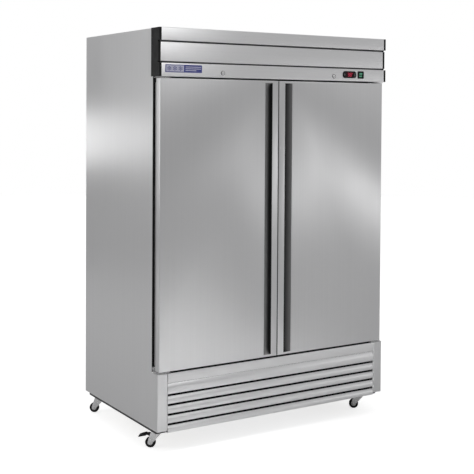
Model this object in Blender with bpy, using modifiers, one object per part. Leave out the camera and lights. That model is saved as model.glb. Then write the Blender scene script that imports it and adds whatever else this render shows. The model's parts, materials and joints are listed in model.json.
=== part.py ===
"""Two-door reach-in refrigerator with a bottom-mounted condensing unit, on casters.

Metres, +Z up, +X to the right as seen from the front, front towards -Y. Everything is worked out from the
driving dimensions below, about the cabinet's own middle. The whole is slid sideways at the end, so that the origin
is on the floor under the middle of the overall box, which counts the left brake pedal.
"""

import math

import bmesh
import bpy
from mathutils import Euler, Matrix, Vector

# Driving dimensions: the cabinet
WIDTH = 1.375
SHELL_DEPTH = 0.774
TOP_Z = 2.024
SIDE_BOTTOM_Z = 0.112
BAY_TOP_Z = 0.386
WALL = 0.057
SHEET = 0.001
FACE_SHEET = 0.0012
GAP = 0.0003

# Driving dimensions: what stands proud of the shell's front plane
DOOR_PROUD = 0.056
POST_PROUD = 0.059
HEADER_PROUD = 0.068
TRIM_PROUD = 0.0035

# Driving dimensions: header, doors and their opening
HEADER_BOTTOM_Z = 1.795
HEADER_TOP_Z = 2.026
DOOR_BOTTOM_Z = 0.393
DOOR_TOP_Z = 1.788
DOOR_INNER_X = 0.0025
DOOR_OUTER_X = 0.6775
DOOR_THICK = 0.043
OPENING_X = 0.630
OPENING_Z = (0.440, 1.745)
MULLION_HALF = 0.030
CEILING_Z = 1.965
SIDES = {"left": -1, "right": 1}

# Planes that follow from them
HALF = WIDTH / 2
FRONT_Y = -(SHELL_DEPTH - HEADER_PROUD - TRIM_PROUD) / 2
BACK_Y = FRONT_Y + SHELL_DEPTH
DOOR_Y = FRONT_Y - DOOR_PROUD
DOOR_BACK_Y = DOOR_Y + DOOR_THICK
POST_Y = FRONT_Y - POST_PROUD
HEADER_Y = FRONT_Y - HEADER_PROUD
TRIM_Y = HEADER_Y - TRIM_PROUD
SKIN = SHEET + GAP
LINER_BACK_Y = BACK_Y - WALL

# Door hinges and locks
PIVOT = Vector((0.659, DOOR_Y + 0.021, 0))
PIN_R = 0.005
PIN_HOLE_R = 0.0057
LOCK_X = (DOOR_INNER_X + DOOR_OUTER_X) / 2
LOCK_Z = 1.8175
LOCK_CAM_Y = HEADER_Y + 0.027
LOCK_CAM_REACH = 0.036

# Recessed handle, measured from the door's free edge and inwards from its face
STRIP = 0.036
RECESS = 0.0445
RECESS_DEPTH = 0.026
RECESS_END = 0.012

# Louvred grille
GRILLE_HALF = 0.6305
GRILLE_Z = (0.1005, 0.3855)
GRILLE_BAND = 0.0475
LOUVRE_TOPS = (0.338, 0.279, 0.232, 0.1855, 0.139)

# Casters: the wheel trails behind the swivel axis
CASTER_X = 0.6295
CASTER_Y = (-0.297, 0.362)
CASTER_TURN = math.radians(50)
FORK_TOP_Z = 0.086
WHEEL_R = 0.0254
WHEEL_W = 0.021
TRAIL = 0.031
RAIL_Z = (0.094, 0.1115)
PEDAL_REACH = 0.0880
PEDAL_HALF = 0.0190
CENTRE_X = (CASTER_X + PEDAL_REACH * math.sin(CASTER_TURN) + PEDAL_HALF * math.cos(CASTER_TURN) - HALF - 0.002) / 2

# Machine bay
BAY_FLOOR_Z = RAIL_Z[1] + GAP + SHEET + GAP
FAN_R = 0.088
COIL_BOX = ((-0.19, -0.325, BAY_FLOOR_Z), (0.11, -0.265, 0.346))
FAN_CENTRE = Vector((-0.04, -0.222, 0.231))
COMPRESSOR_AT = Vector((0.18, 0.10, 0.1345))

# Cold space
SHELF_LEVELS = (0.765, 1.090, 1.415)
SHELF_X = (0.012, 0.612)
SHELF_Y = (-0.296, 0.345)
SHELF_THICK = 0.007
EVAP_FAN_X = 0.20
EVAP_FAN_Y = -0.055
EVAP_FAN_R = 0.076

PAINT = {
    "stainless": ((0.62, 0.62, 0.62), 0.32, 1.0),
    "galvanised": ((0.55, 0.57, 0.58), 0.45, 1.0),
    "liner_aluminium": ((0.78, 0.78, 0.78), 0.4, 1.0),
    "foam": ((0.85, 0.76, 0.52), 0.9, 0.0),
    "black_plastic": ((0.03, 0.03, 0.032), 0.45, 0.0),
    "gasket_rubber": ((0.10, 0.10, 0.105), 0.6, 0.0),
    "dark_frame": ((0.05, 0.05, 0.052), 0.5, 0.6),
    "breaker_pvc": ((0.08, 0.08, 0.085), 0.5, 0.0),
    "zinc": ((0.72, 0.73, 0.74), 0.25, 1.0),
    "door_liner": ((0.84, 0.85, 0.85), 0.35, 0.0),
    "shelf_epoxy": ((0.86, 0.87, 0.87), 0.3, 0.0),
    "green_lens": ((0.02, 0.42, 0.16), 0.2, 0.0),
    "compressor_black": ((0.015, 0.015, 0.016), 0.3, 0.0),
    "coil_aluminium": ((0.70, 0.70, 0.71), 0.45, 1.0),
    "tyre": ((0.02, 0.02, 0.02), 0.6, 0.0),
}


# ---------------------------------------------------------------- modelling helpers


def clear_scene():
    for obj in list(bpy.data.objects):
        bpy.data.objects.remove(obj)


def new_collection(name):
    made = bpy.data.collections.new(name)
    bpy.context.scene.collection.children.link(made)
    return made


def paint(name):
    """A Principled material for one of the names in PAINT."""
    found = bpy.data.materials.get(name)
    if found:
        return found
    colour, roughness, metallic = PAINT[name]
    made = bpy.data.materials.new(name)
    made.use_nodes = True
    shader = made.node_tree.nodes["Principled BSDF"]
    shader.inputs["Base Color"].default_value = (*colour, 1)
    shader.inputs["Roughness"].default_value = roughness
    shader.inputs["Metallic"].default_value = metallic
    return made


def add(name, data, finish=None):
    """Links data as an object: a part when it has a finish, a hidden helper when it has none."""
    obj = bpy.data.objects.new(name, data)
    if finish:
        PARTS.objects.link(obj)
        data.materials.append(paint(finish))
    else:
        HELPERS.objects.link(obj)
        obj.hide_render = True
        obj.display_type = "WIRE"
    return obj


def mesh_from(bm, name):
    mesh = bpy.data.meshes.new(name)
    bm.to_mesh(mesh)
    bm.free()
    return mesh


def box(name, low, high, finish=None):
    low, high = Vector(low), Vector(high)
    bm = bmesh.new()
    bmesh.ops.create_cube(bm, size=1, matrix=Matrix.Diagonal((*(high - low), 1)))
    obj = add(name, mesh_from(bm, name), finish)
    obj.location = (low + high) / 2
    return obj


def side_box(name, side, x_span, y_span, z_span, finish=None):
    """A box whose x_span is measured outwards from the middle of the cabinet."""
    xs = sorted(side * x for x in x_span)
    return box(name, (xs[0], y_span[0], z_span[0]), (xs[1], y_span[1], z_span[1]), finish)


TURN = {"X": Euler((0, math.pi / 2, 0)), "Y": Euler((math.pi / 2, 0, 0)), "Z": Euler((0, 0, 0))}


def rod(name, radius, centre, length, axis="Z", finish=None, sides=20, end_radius=None):
    """A cylinder or cone along an axis. Its first end is the one towards -axis for X and Z, +axis for Y."""
    bm = bmesh.new()
    bmesh.ops.create_cone(
        bm, cap_ends=True, segments=sides, radius1=radius,
        radius2=radius if end_radius is None else end_radius, depth=length,
    )
    obj = add(name, mesh_from(bm, name), finish)
    obj.data.shade_smooth()
    obj.data.set_sharp_from_angle(angle=math.radians(35))
    obj.location = centre
    obj.rotation_euler = TURN[axis]
    return obj


def turned(name, profile, centre, axis="Z", finish=None, steps=24):
    """A closed or axis-to-axis profile of (radius, height) points, turned with a Screw modifier."""
    mesh = bpy.data.meshes.new(name)
    closed = min(r for r, _ in profile) > 0
    edges = [(i, i + 1) for i in range(len(profile) - 1)]
    if closed:
        edges.append((len(profile) - 1, 0))
    mesh.from_pydata([(r, 0, h) for r, h in profile], edges, [])
    obj = add(name, mesh, finish)
    screw = obj.modifiers.new("turn", "SCREW")
    screw.steps = screw.render_steps = steps
    screw.use_merge_vertices = True
    screw.merge_threshold = 1e-5
    obj.location = centre
    obj.rotation_euler = TURN[axis]
    return obj


OUTLINE_PLANES = {
    "XY": Euler((0, 0, 0)),
    "XZ": Euler((math.pi / 2, 0, 0)),
    "YZ": Euler((math.pi / 2, 0, math.pi / 2)),
}


def stand_up(obj, plane, span):
    """Turns a flat shape made about local Z into its plane, centred on span along the plane's normal."""
    obj.rotation_euler = OUTLINE_PLANES[plane]
    normal = {"XY": 2, "XZ": 1, "YZ": 0}[plane]
    obj.location[normal] = sum(span) / 2


def slab(name, outlines, plane, span, finish=None):
    """Flat outlines in a plane, the later ones being holes, extruded over span along the plane's normal."""
    curve = bpy.data.curves.new(name, "CURVE")
    curve.dimensions = "2D"
    curve.fill_mode = "BOTH"
    curve.extrude = (span[1] - span[0]) / 2
    for outline in outlines:
        spline = curve.splines.new("POLY")
        spline.points.add(len(outline) - 1)
        for point, (u, v) in zip(spline.points, outline):
            point.co = (u, v, 0, 1)
        spline.use_cyclic_u = True
    obj = add(name, curve, finish)
    stand_up(obj, plane, span)
    return obj


def as_mesh(obj):
    """Turns a curve object into a mesh object of the same name, with its caps welded on."""
    bpy.context.view_layer.update()
    graph = bpy.context.evaluated_depsgraph_get()
    mesh = bpy.data.meshes.new_from_object(obj.evaluated_get(graph))
    bm = bmesh.new()
    bm.from_mesh(mesh)
    bmesh.ops.remove_doubles(bm, verts=bm.verts, dist=1e-6)
    bmesh.ops.recalc_face_normals(bm, faces=bm.faces)
    bm.to_mesh(mesh)
    bm.free()
    name, place = obj.name, obj.matrix_world.copy()
    finish = obj.data.materials[0].name if obj.data.materials else None
    bpy.data.objects.remove(obj)
    mesh.materials.clear()
    made = add(name, mesh, finish)
    made.matrix_world = place
    return made


def folded(name, path, plane, span, thick, finish=None):
    """A folded sheet: an open path in a plane, swept over span along its normal and given thickness."""
    bm = bmesh.new()
    start = [bm.verts.new((u, v, -(span[1] - span[0]) / 2)) for u, v in path]
    edges = [bm.edges.new(pair) for pair in zip(start, start[1:])]
    swept = bmesh.ops.extrude_edge_only(bm, edges=edges)["geom"]
    ends = [v for v in swept if isinstance(v, bmesh.types.BMVert)]
    bmesh.ops.translate(bm, verts=ends, vec=(0, 0, span[1] - span[0]))
    obj = add(name, mesh_from(bm, name), finish)
    stand_up(obj, plane, span)
    solid = obj.modifiers.new("sheet", "SOLIDIFY")
    solid.thickness = thick
    solid.offset = 0
    solid.use_even_offset = True
    return obj


def boolean(target, other, operation):
    if other.type == "CURVE":
        other = as_mesh(other)
    step = target.modifiers.new(f"{operation.lower()}_{other.name}", "BOOLEAN")
    step.operation = operation
    step.object = other
    if not other.parent:
        hang(target, other)
    return target


def cut(target, *cutters):
    for cutter in cutters:
        boolean(target, cutter, "DIFFERENCE")
    return target


def join(target, *others):
    for other in others:
        boolean(target, other, "UNION")
    return target


def arc(centre, radius, start, end, count):
    """Points on an arc, angles in degrees."""
    steps = [math.radians(start + (end - start) * i / (count - 1)) for i in range(count)]
    return [(centre[0] + radius * math.cos(a), centre[1] + radius * math.sin(a)) for a in steps]


def rectangle(u_span, v_span):
    return [(u_span[0], v_span[0]), (u_span[1], v_span[0]), (u_span[1], v_span[1]), (u_span[0], v_span[1])]


def rounded(u_span, v_span, radius, corner_points=4):
    (u0, u1), (v0, v1) = u_span, v_span
    corners = (
        ((u1 - radius, v0 + radius), -90), ((u1 - radius, v1 - radius), 0),
        ((u0 + radius, v1 - radius), 90), ((u0 + radius, v0 + radius), 180),
    )
    return [p for centre, start in corners for p in arc(centre, radius, start, start + 90, corner_points)]


def axis_empty(name, at, turn=0.0):
    """An empty on a joint's axis, for the moving pieces to hang from."""
    empty = bpy.data.objects.new(name, None)
    empty.location = at
    empty.rotation_euler = (0, 0, turn)
    PARTS.objects.link(empty)
    return empty


def hang(carrier, *pieces):
    """Parents pieces to an object without moving them."""
    bpy.context.view_layer.update()
    for piece in pieces:
        place = piece.matrix_world.copy()
        piece.parent = carrier
        piece.matrix_parent_inverse = carrier.matrix_world.inverted()
        piece.matrix_world = place


# ---------------------------------------------------------------- cabinet shell


def cold_space_outline(inset, front_y):
    """Side view of the cold space: it rises behind the header, above the door opening."""
    floor, lintel = OPENING_Z[0] + inset, OPENING_Z[1] - inset
    ceiling, back = CEILING_Z - inset, LINER_BACK_Y - inset
    inner_front = FRONT_Y + WALL + inset
    return [
        (front_y, floor), (back, floor), (back, ceiling),
        (inner_front, ceiling), (inner_front, lintel), (front_y, lintel),
    ]


def cabinet_shell():
    for name, side in SIDES.items():
        outline = [
            (FRONT_Y, BAY_TOP_Z), (FRONT_Y, TOP_Z), (BACK_Y, TOP_Z),
            (BACK_Y, SIDE_BOTTOM_Z), (POST_Y, SIDE_BOTTOM_Z), (POST_Y, BAY_TOP_Z),
        ]
        span = sorted((side * HALF, side * (HALF - SHEET)))
        slab(f"side_panel_{name}", [outline], "YZ", span, "stainless")
    inside = HALF - SKIN
    box("top_panel", (-inside, FRONT_Y, TOP_Z - SHEET), (inside, BACK_Y - SKIN, TOP_Z), "galvanised")
    back = rectangle((-inside, inside), (SIDE_BOTTOM_Z, TOP_Z))
    cord_window = rectangle((-0.620, -0.375), (0.135, 0.355))
    vents = [
        rectangle((x, x + 0.250), (z, z + 0.010))
        for x in (-0.330, -0.040, 0.250) for z in (0.150, 0.185, 0.220, 0.255, 0.290, 0.325)
    ]
    slab("back_panel", [back, cord_window] + vents, "XZ", (BACK_Y - SHEET, BACK_Y), "galvanised")
    foam = box(
        "insulation_foam",
        (-inside, FRONT_Y + FACE_SHEET + GAP, BAY_TOP_Z + GAP),
        (inside, BACK_Y - SKIN, TOP_Z - SKIN), "foam",
    )
    foam_wall = -(SKIN + GAP)
    cut(foam, slab(
        "foam_cavity", [cold_space_outline(foam_wall, FRONT_Y - 0.01)], "YZ",
        (-OPENING_X + foam_wall, OPENING_X - foam_wall),
    ))


def pilaster(name, x_span, y_span):
    return box(name, (x_span[0], y_span[0], 0.470), (x_span[1], y_span[1], 1.720))


def clip_heights(shelf_z):
    return shelf_z - 0.012, shelf_z - GAP


def shelf_clip(name, shelf_z, y_span):
    """A clip on a middle pilaster, wide enough to carry the corners of both columns' shelves."""
    low, high = clip_heights(shelf_z)
    return box(name, (-0.028, y_span[0], low), (0.028, y_span[1], high))


def inner_liner():
    """The cold space's sheet liner, with the shelf pilasters riveted to its walls."""
    front = FRONT_Y + FACE_SHEET + GAP
    liner = as_mesh(slab(
        "inner_liner", [cold_space_outline(-SHEET, front)], "YZ",
        (-OPENING_X - SHEET, OPENING_X + SHEET), "liner_aluminium",
    ))
    cut(liner, slab("liner_space", [cold_space_outline(0, FRONT_Y - 0.01)], "YZ", (-OPENING_X, OPENING_X)))
    wall, proud, half = OPENING_X + SHEET / 2, 0.010, 0.010
    for side_name, side in SIDES.items():
        for place, y in (("front", -0.262), ("back", 0.300)):
            xs = sorted((side * wall, side * (OPENING_X - proud)))
            join(liner, pilaster(f"pilaster_{side_name}_{place}", xs, (y - half, y + half)))
    back = LINER_BACK_Y + SHEET / 2
    join(liner, pilaster("pilaster_centre_back", (-half, half), (LINER_BACK_Y - proud, back)))
    for level, z in enumerate(SHELF_LEVELS):
        for side in SIDES.values():
            for y in (-0.262, 0.300):
                clip = side_box(f"clip_{level}_{side}_{y}", side, (0.598, 0.622), (y - 0.009, y + 0.009), clip_heights(z))
                join(liner, clip)
        join(liner, shelf_clip(f"clip_{level}_back", z, (0.331, LINER_BACK_Y - proud + 0.002)))


def front_frame():
    """The breaker frame round the door opening, and the mullion that the two gaskets meet on."""
    inside = HALF - SKIN
    frame = slab(
        "front_frame",
        [
            rectangle((-inside, inside), (BAY_TOP_Z + GAP, TOP_Z - SKIN)),
            rectangle((-OPENING_X, OPENING_X), OPENING_Z),
        ],
        "XZ", (FRONT_Y, FRONT_Y + FACE_SHEET), "breaker_pvc",
    )
    frame.data.resolution_u = 1
    mullion = box(
        "center_mullion",
        (-MULLION_HALF, FRONT_Y, OPENING_Z[0] + GAP),
        (MULLION_HALF, FRONT_Y + 0.045, OPENING_Z[1] - GAP), "breaker_pvc",
    )
    join(mullion, pilaster("pilaster_centre_front", (-0.010, 0.010), (FRONT_Y + 0.044, FRONT_Y + 0.055)))
    for level, z in enumerate(SHELF_LEVELS):
        join(mullion, shelf_clip(f"clip_{level}_front", z, (FRONT_Y + 0.053, FRONT_Y + 0.071)))


# ---------------------------------------------------------------- base, posts and grille


def base_frame():
    """A ring of flat channel with the four casters' fixed mounting plates and raceways."""
    outer_x, inner_x = HALF - 0.0105, HALF - 0.0555
    outer_y, inner_y = (-0.378, BACK_Y - 0.024), (-0.338, BACK_Y - 0.069)
    ring = as_mesh(slab(
        "base_frame",
        [rectangle((-outer_x, outer_x), outer_y), rectangle((-inner_x, inner_x), inner_y)],
        "XY", RAIL_Z, "dark_frame",
    ))
    for side_name, side in SIDES.items():
        for place, y in zip(("front", "rear"), CASTER_Y):
            name = f"{place}_{side_name}"
            x = side * CASTER_X
            plate = box(f"plate_{name}", (x - 0.030, y - 0.038, 0.0905), (x + 0.030, y + 0.038, 0.0990))
            race = rod(f"raceway_{name}", 0.017, (x, y, 0.0890), 0.005)
            join(ring, plate, race)


def corner_posts():
    for name, side in SIDES.items():
        outer = (GRILLE_HALF + GAP, HALF - SKIN)
        post = side_box(
            f"corner_post_{name}", side, outer, (POST_Y, FRONT_Y - GAP),
            (SIDE_BOTTOM_Z, BAY_TOP_Z - GAP), "stainless",
        )
        hollow = side_box(
            f"post_hollow_{name}", side, (outer[0] + FACE_SHEET, outer[1] - FACE_SHEET),
            (POST_Y + FACE_SHEET, FRONT_Y + 0.02), (SIDE_BOTTOM_Z - 0.02, BAY_TOP_Z - 0.002),
        )
        cut(post, hollow)


def louvre_path(top, bottom, setback=0.014):
    """Side view of one louvre blade: it starts set back, swells to the front face and tucks in at its lip."""
    height = top - bottom
    points = []
    for i in range(5):
        t = i / 4
        points.append((POST_Y + 0.0006 + setback * (1 - math.sin(math.pi * (0.08 + 0.62 * t))) ** 1.5, top - height * t))
    return points


def front_grille():
    """Top band, four open louvres and a bottom band, held by an end plate at each side and one in the middle."""
    low, high = GRILLE_Z
    blade_y = POST_Y + 0.0006
    span = (-GRILLE_HALF, GRILLE_HALF)
    band = [(FRONT_Y - 0.004, high - 0.0006), (blade_y, high - 0.0006), (blade_y, LOUVRE_TOPS[0]), (blade_y + 0.012, LOUVRE_TOPS[0] - 0.002)]
    grille = folded("front_grille", band, "YZ", span, FACE_SHEET, "stainless")
    ends = list(LOUVRE_TOPS[1:]) + [low]
    for i, (top, bottom) in enumerate(zip(LOUVRE_TOPS, ends)):
        start = top - 0.003 if i else top - 0.006
        stop = bottom + 0.0045 if bottom > low else bottom
        blade = folded(f"louvre_{i}", louvre_path(start, stop), "YZ", span, FACE_SHEET)
        join(grille, blade)
    for i, x in enumerate((-GRILLE_HALF, -0.002, GRILLE_HALF - 0.004)):
        end = box(f"louvre_end_{i}", (x, POST_Y + 0.004, low + 0.001), (x + 0.004, POST_Y + 0.024, high - 0.0009))
        join(grille, end)


# ---------------------------------------------------------------- header


def header_path(grow=0.0):
    """Side view of the header's front: two proud bands, and a middle band between two shadow grooves."""
    face = HEADER_Y + SHEET / 2 - grow
    middle, groove = face + 0.009, face + 0.016
    top, bottom = HEADER_TOP_Z - SHEET / 2 + grow, HEADER_BOTTOM_Z + SHEET / 2 - grow
    return [
        (FRONT_Y - 0.0010, top), (face, top), (face, 1.9655), (groove, 1.9635), (groove, 1.9590),
        (middle, 1.9570), (middle, 1.8670), (groove, 1.8650), (groove, 1.8605), (face, 1.8585),
        (face, bottom), (FRONT_Y - 0.006, bottom),
    ]


def header():
    inside = HALF - 0.0103
    panel = folded("header_panel", header_path(), "YZ", (-inside, inside), SHEET, "stainless")
    for name, side in SIDES.items():
        x = side * LOCK_X
        slot = sorted((x - side * 0.007, x + side * 0.038))
        cut(
            panel,
            rod(f"lock_hole_{name}", 0.0078, (x, HEADER_Y, LOCK_Z), 0.02, "Y"),
            box(f"lock_slot_{name}", (slot[0], LOCK_CAM_Y - 0.004, 1.790), (slot[1], LOCK_CAM_Y + 0.004, 1.800)),
        )
    cut(
        panel,
        box("controller_cutout", (0.4065, HEADER_Y - 0.01, 1.8135), (0.4785, HEADER_Y + 0.01, 1.8445)),
        box("switch_cutout", (0.5020, HEADER_Y - 0.01, 1.8125), (0.5340, HEADER_Y + 0.01, 1.8465)),
    )
    for name, side in SIDES.items():
        cap_outline = header_path(0.0005)[1:-1]
        cheek = [(FRONT_Y - GAP - 0.0005, cap_outline[0][1])] + cap_outline + [(FRONT_Y - GAP - 0.0005, cap_outline[-1][1])]
        wrap = [(FRONT_Y + 0.015, cheek[0][1])] + cap_outline + [(FRONT_Y + 0.015, cheek[-1][1])]
        inner = sorted((side * (HALF - 0.010), side * (HALF + 0.001)))
        outer = sorted((side * (HALF + GAP), side * (HALF + 0.002)))
        cap = as_mesh(slab(f"header_cap_{name}", [wrap], "YZ", outer, "black_plastic"))
        join(cap, slab(f"cap_cheek_{name}", [cheek], "YZ", inner))


def controller():
    """Digital thermostat: rounded bezel on the header's lower band, case behind it, and two travelling keys."""
    x_span, z_span = (0.398, 0.487), (1.8110, 1.8475)
    body = as_mesh(slab(
        "controller_body", [rounded(x_span, z_span, 0.014, 5)], "XZ", (TRIM_Y + 0.0002, HEADER_Y - GAP), "black_plastic",
    ))
    join(body, box("controller_case", (0.407, HEADER_Y - 0.001, 1.814), (0.478, HEADER_Y + 0.048, 1.844)))
    middle = sum(z_span) / 2
    for name, x in (("set", 0.4085), ("adjust", 0.4765)):
        u, v = (x - 0.0050, x + 0.0050), (middle - 0.0090, middle + 0.0090)
        cut(body, slab(f"pocket_{name}", [rounded(u, v, 0.003)], "XZ", (TRIM_Y - 0.002, TRIM_Y + 0.0028)))
        u, v = (x - 0.0046, x + 0.0046), (middle - 0.0086, middle + 0.0086)
        slab(f"controller_key_{name}", [rounded(u, v, 0.0028)], "XZ", (TRIM_Y, TRIM_Y + 0.0018), "gasket_rubber")


SWITCH_PIVOT = Vector((0.518, TRIM_Y + 0.0085, 1.8295))
SWITCH_LEAN = math.radians(9)


def power_switch():
    """Illuminated rocker switch: framed body with a rocker that tips about a level axis."""
    body = as_mesh(slab(
        "switch_body", [rounded((0.498, 0.538), (1.8100, 1.8490), 0.005)], "XZ",
        (TRIM_Y + 0.0002, HEADER_Y - GAP), "black_plastic",
    ))
    join(body, box("switch_case", (0.5025, HEADER_Y - 0.001, 1.813), (0.5335, HEADER_Y + 0.030, 1.846)))
    cut(body, box("switch_well", (0.5045, TRIM_Y - 0.01, 1.8150), (0.5315, TRIM_Y + 0.020, 1.8440)))
    front = [(-0.0060, -0.0130), (-0.0042, 0), (-0.0060, 0.0130)]
    back = [(p[0], p[1]) for p in arc((0, 0), 0.0090, 55, -55, 5)]
    rocker = slab("switch_rocker", [front + back], "YZ", (-0.0130, 0.0130), "green_lens")
    rocker.location = SWITCH_PIVOT
    rocker.rotation_euler = (Matrix.Rotation(SWITCH_LEAN, 3, "X") @ OUTLINE_PLANES["YZ"].to_matrix()).to_euler()


def door_locks():
    """Cam locks in the header: the cam turns down through the header's slot into the top of the door."""
    for name, side in SIDES.items():
        x = side * LOCK_X
        plug_end = LOCK_CAM_Y - 0.001
        lock = rod(f"lock_{name}", 0.0095, (x, HEADER_Y - 0.0017, LOCK_Z), 0.0026, "Y", "zinc")
        plug = rod(f"plug_{name}", 0.0072, (x, (HEADER_Y - 0.002 + plug_end) / 2, LOCK_Z), plug_end - HEADER_Y + 0.002, "Y")
        reach = sorted((x - side * 0.0050, x + side * LOCK_CAM_REACH))
        cam = box(
            f"cam_{name}", (reach[0], LOCK_CAM_Y - 0.0015, LOCK_Z - 0.0045),
            (reach[1], LOCK_CAM_Y + 0.0015, LOCK_Z + 0.0045),
        )
        join(lock, plug, cam)
        hang(axis_empty(f"lock_axis_{name}", (x, HEADER_Y, LOCK_Z)), lock)


# ---------------------------------------------------------------- doors


def handle_path():
    """Plan of the recessed grip: a sweep down from the face, then an undercut behind the edge strip."""
    mouth = STRIP + RECESS - 0.0010
    floor = RECESS_DEPTH
    sweep = [
        (mouth - 0.0005 - (mouth - STRIP - 0.004) * t, 0.0006 + (floor - 0.0006) * math.sin(math.pi / 2 * t) ** 1.2)
        for t in (0, 0.18, 0.38, 0.6, 0.8, 1.0)
    ]
    undercut = arc((STRIP - 0.0060, floor - 0.0105), 0.0105, 90, 270, 6)
    lip = [(STRIP + 0.0015, 0.0042), (STRIP + 0.0006, 0.0019)]
    return sweep + undercut + lip


def door(name, side):
    inner, outer = DOOR_INNER_X, DOOR_OUTER_X
    z_span = (DOOR_BOTTOM_Z, DOOR_TOP_Z)
    skin = side_box(f"door_skin_{name}", side, (inner, outer), (DOOR_Y, DOOR_BACK_Y - 0.002), z_span, "stainless")
    cut(skin, side_box(
        f"skin_hollow_{name}", side, (inner + SHEET, outer - SHEET), (DOOR_Y + SHEET, DOOR_BACK_Y + 0.02),
        (z_span[0] + SHEET, z_span[1] - SHEET),
    ))
    window_z = (z_span[0] + RECESS_END, z_span[1] - RECESS_END)
    cut(skin, side_box(
        f"grip_window_{name}", side, (inner + STRIP, inner + STRIP + RECESS), (DOOR_Y - 0.01, DOOR_Y + 0.01), window_z,
    ))

    core = side_box(
        f"door_core_{name}", side, (inner + SKIN, outer - SKIN), (DOOR_Y + SKIN, DOOR_BACK_Y),
        (z_span[0] + SKIN, z_span[1] - SKIN), "door_liner",
    )
    plug = side_box(
        f"door_plug_{name}", side, (0.042, 0.618), (DOOR_BACK_Y - 0.01, FRONT_Y + 0.010),
        (OPENING_Z[0] + 0.012, OPENING_Z[1] - 0.012),
    )
    join(core, plug)
    notch = side_box(
        f"grip_notch_{name}", side, (inner + STRIP - 0.0185, inner + STRIP + RECESS + 0.001),
        (DOOR_Y - 0.01, DOOR_Y + RECESS_DEPTH + 0.0015), (window_z[0] - 0.0015, window_z[1] + 0.0015),
    )
    cut(core, notch)

    def plan(points):
        return [(side * (inner + u), DOOR_Y + v) for u, v in points]

    handle = folded(f"door_handle_{name}", plan(handle_path()), "XY", (window_z[0] + GAP, window_z[1] - GAP), 0.0011, "stainless")
    for end, z in (("low", window_z[0] + GAP), ("high", window_z[1] - GAP - 0.0012)):
        join(handle, slab(f"grip_end_{end}_{name}", [plan(handle_path())], "XY", (z, z + 0.0012)))

    rest_y = (DOOR_BACK_Y + GAP, FRONT_Y - GAP)
    ring = [rectangle((0.0080, 0.6565), (0.4145, 1.7705)), rectangle((0.0280, 0.6365), (0.4345, 1.7505))]
    gasket = slab(f"door_gasket_{name}", [[(side * u, v) for u, v in r] for r in ring], "XZ", rest_y, "gasket_rubber")

    at = Vector((side * PIVOT.x, PIVOT.y, 0))
    for end, z in (("top", z_span[1]), ("bottom", z_span[0])):
        hole = rod(f"pin_hole_{end}_{name}", PIN_HOLE_R, (at.x, at.y, z), 0.036)
        cut(skin, hole)
        cut(core, hole)
    x = side * LOCK_X
    slot = sorted((x - side * 0.007, x + side * 0.032))
    keeper = box(f"lock_keeper_{name}", (slot[0], LOCK_CAM_Y - 0.0035, DOOR_TOP_Z - 0.012), (slot[1], LOCK_CAM_Y + 0.0035, DOOR_TOP_Z + 0.01))
    cut(skin, keeper)
    cut(core, keeper)
    hang(axis_empty(f"door_axis_{name}", (at.x, at.y, (z_span[0] + z_span[1]) / 2)), skin, core, handle, gasket)


def hinges():
    """Top and bottom brackets fixed to the cabinet's face, each with the pin that the door turns on."""
    plate = 0.003
    flange_y = (FRONT_Y - GAP - plate, FRONT_Y - GAP)
    for name, side in SIDES.items():
        x_span = (0.622, 0.684)
        at = (side * PIVOT.x, PIVOT.y)
        for end, plate_z, wall_z, pin_z in (
            ("top", (1.7898, 1.7928), (1.7898, 1.8480), (1.7740, 1.7910)),
            ("bottom", (0.3875, 0.3905), (0.3875, 0.4120), (0.3890, 0.4090)),
        ):
            walls = (0.622, 0.676) if end == "top" else (0.6625, 0.684)
            hinge = side_box(f"hinge_{end}_{name}", side, x_span, (DOOR_Y + 0.002, FRONT_Y - GAP), plate_z, "zinc")
            wall = side_box(f"hinge_wall_{end}_{name}", side, walls, flange_y, wall_z)
            pin = rod(f"hinge_pin_{end}_{name}", PIN_R, (*at, sum(pin_z) / 2), pin_z[1] - pin_z[0])
            join(hinge, wall, pin)


# ---------------------------------------------------------------- machine bay


def unit_tray():
    low, high = Vector((-0.36, -0.350, RAIL_Z[1] + GAP)), Vector((0.36, BACK_Y - 0.045, RAIL_Z[1] + 0.022))
    tray = box("unit_tray", low, high, "galvanised")
    wall = Vector((SHEET, SHEET, SHEET))
    cut(tray, box("tray_hollow", low + wall, Vector((high.x - SHEET, high.y - SHEET, high.z + 0.02))))


def compressor():
    """Welded hermetic shell on a foot plate."""
    shell = [
        (0, 0.192), (0.030, 0.189), (0.055, 0.178), (0.070, 0.155), (0.074, 0.120), (0.074, 0.104),
        (0.078, 0.102), (0.078, 0.094), (0.074, 0.092), (0.074, 0.050), (0.066, 0.024), (0.045, 0.010), (0, 0.006),
    ]
    pot = turned("compressor", shell, COMPRESSOR_AT, finish="compressor_black", steps=24)
    x, y, z = COMPRESSOR_AT
    foot = slab("compressor_foot", [rounded((x - 0.095, x + 0.095), (y - 0.060, y + 0.060), 0.02)], "XY", (z + 0.004, z + 0.012))
    terminal = box("compressor_terminals", (x + 0.060, y - 0.030, z + 0.060), (x + 0.098, y + 0.030, z + 0.125))
    join(pot, foot, terminal)
    for i, (dx, dy) in enumerate(((-1, -1), (1, -1), (1, 1), (-1, 1))):
        foot_z = (BAY_FLOOR_Z, z + 0.006)
        spot = (x + dx * 0.080, y + dy * 0.045, sum(foot_z) / 2)
        join(pot, rod(f"compressor_foot_{i}", 0.011, spot, foot_z[1] - foot_z[0], sides=12))


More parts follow.
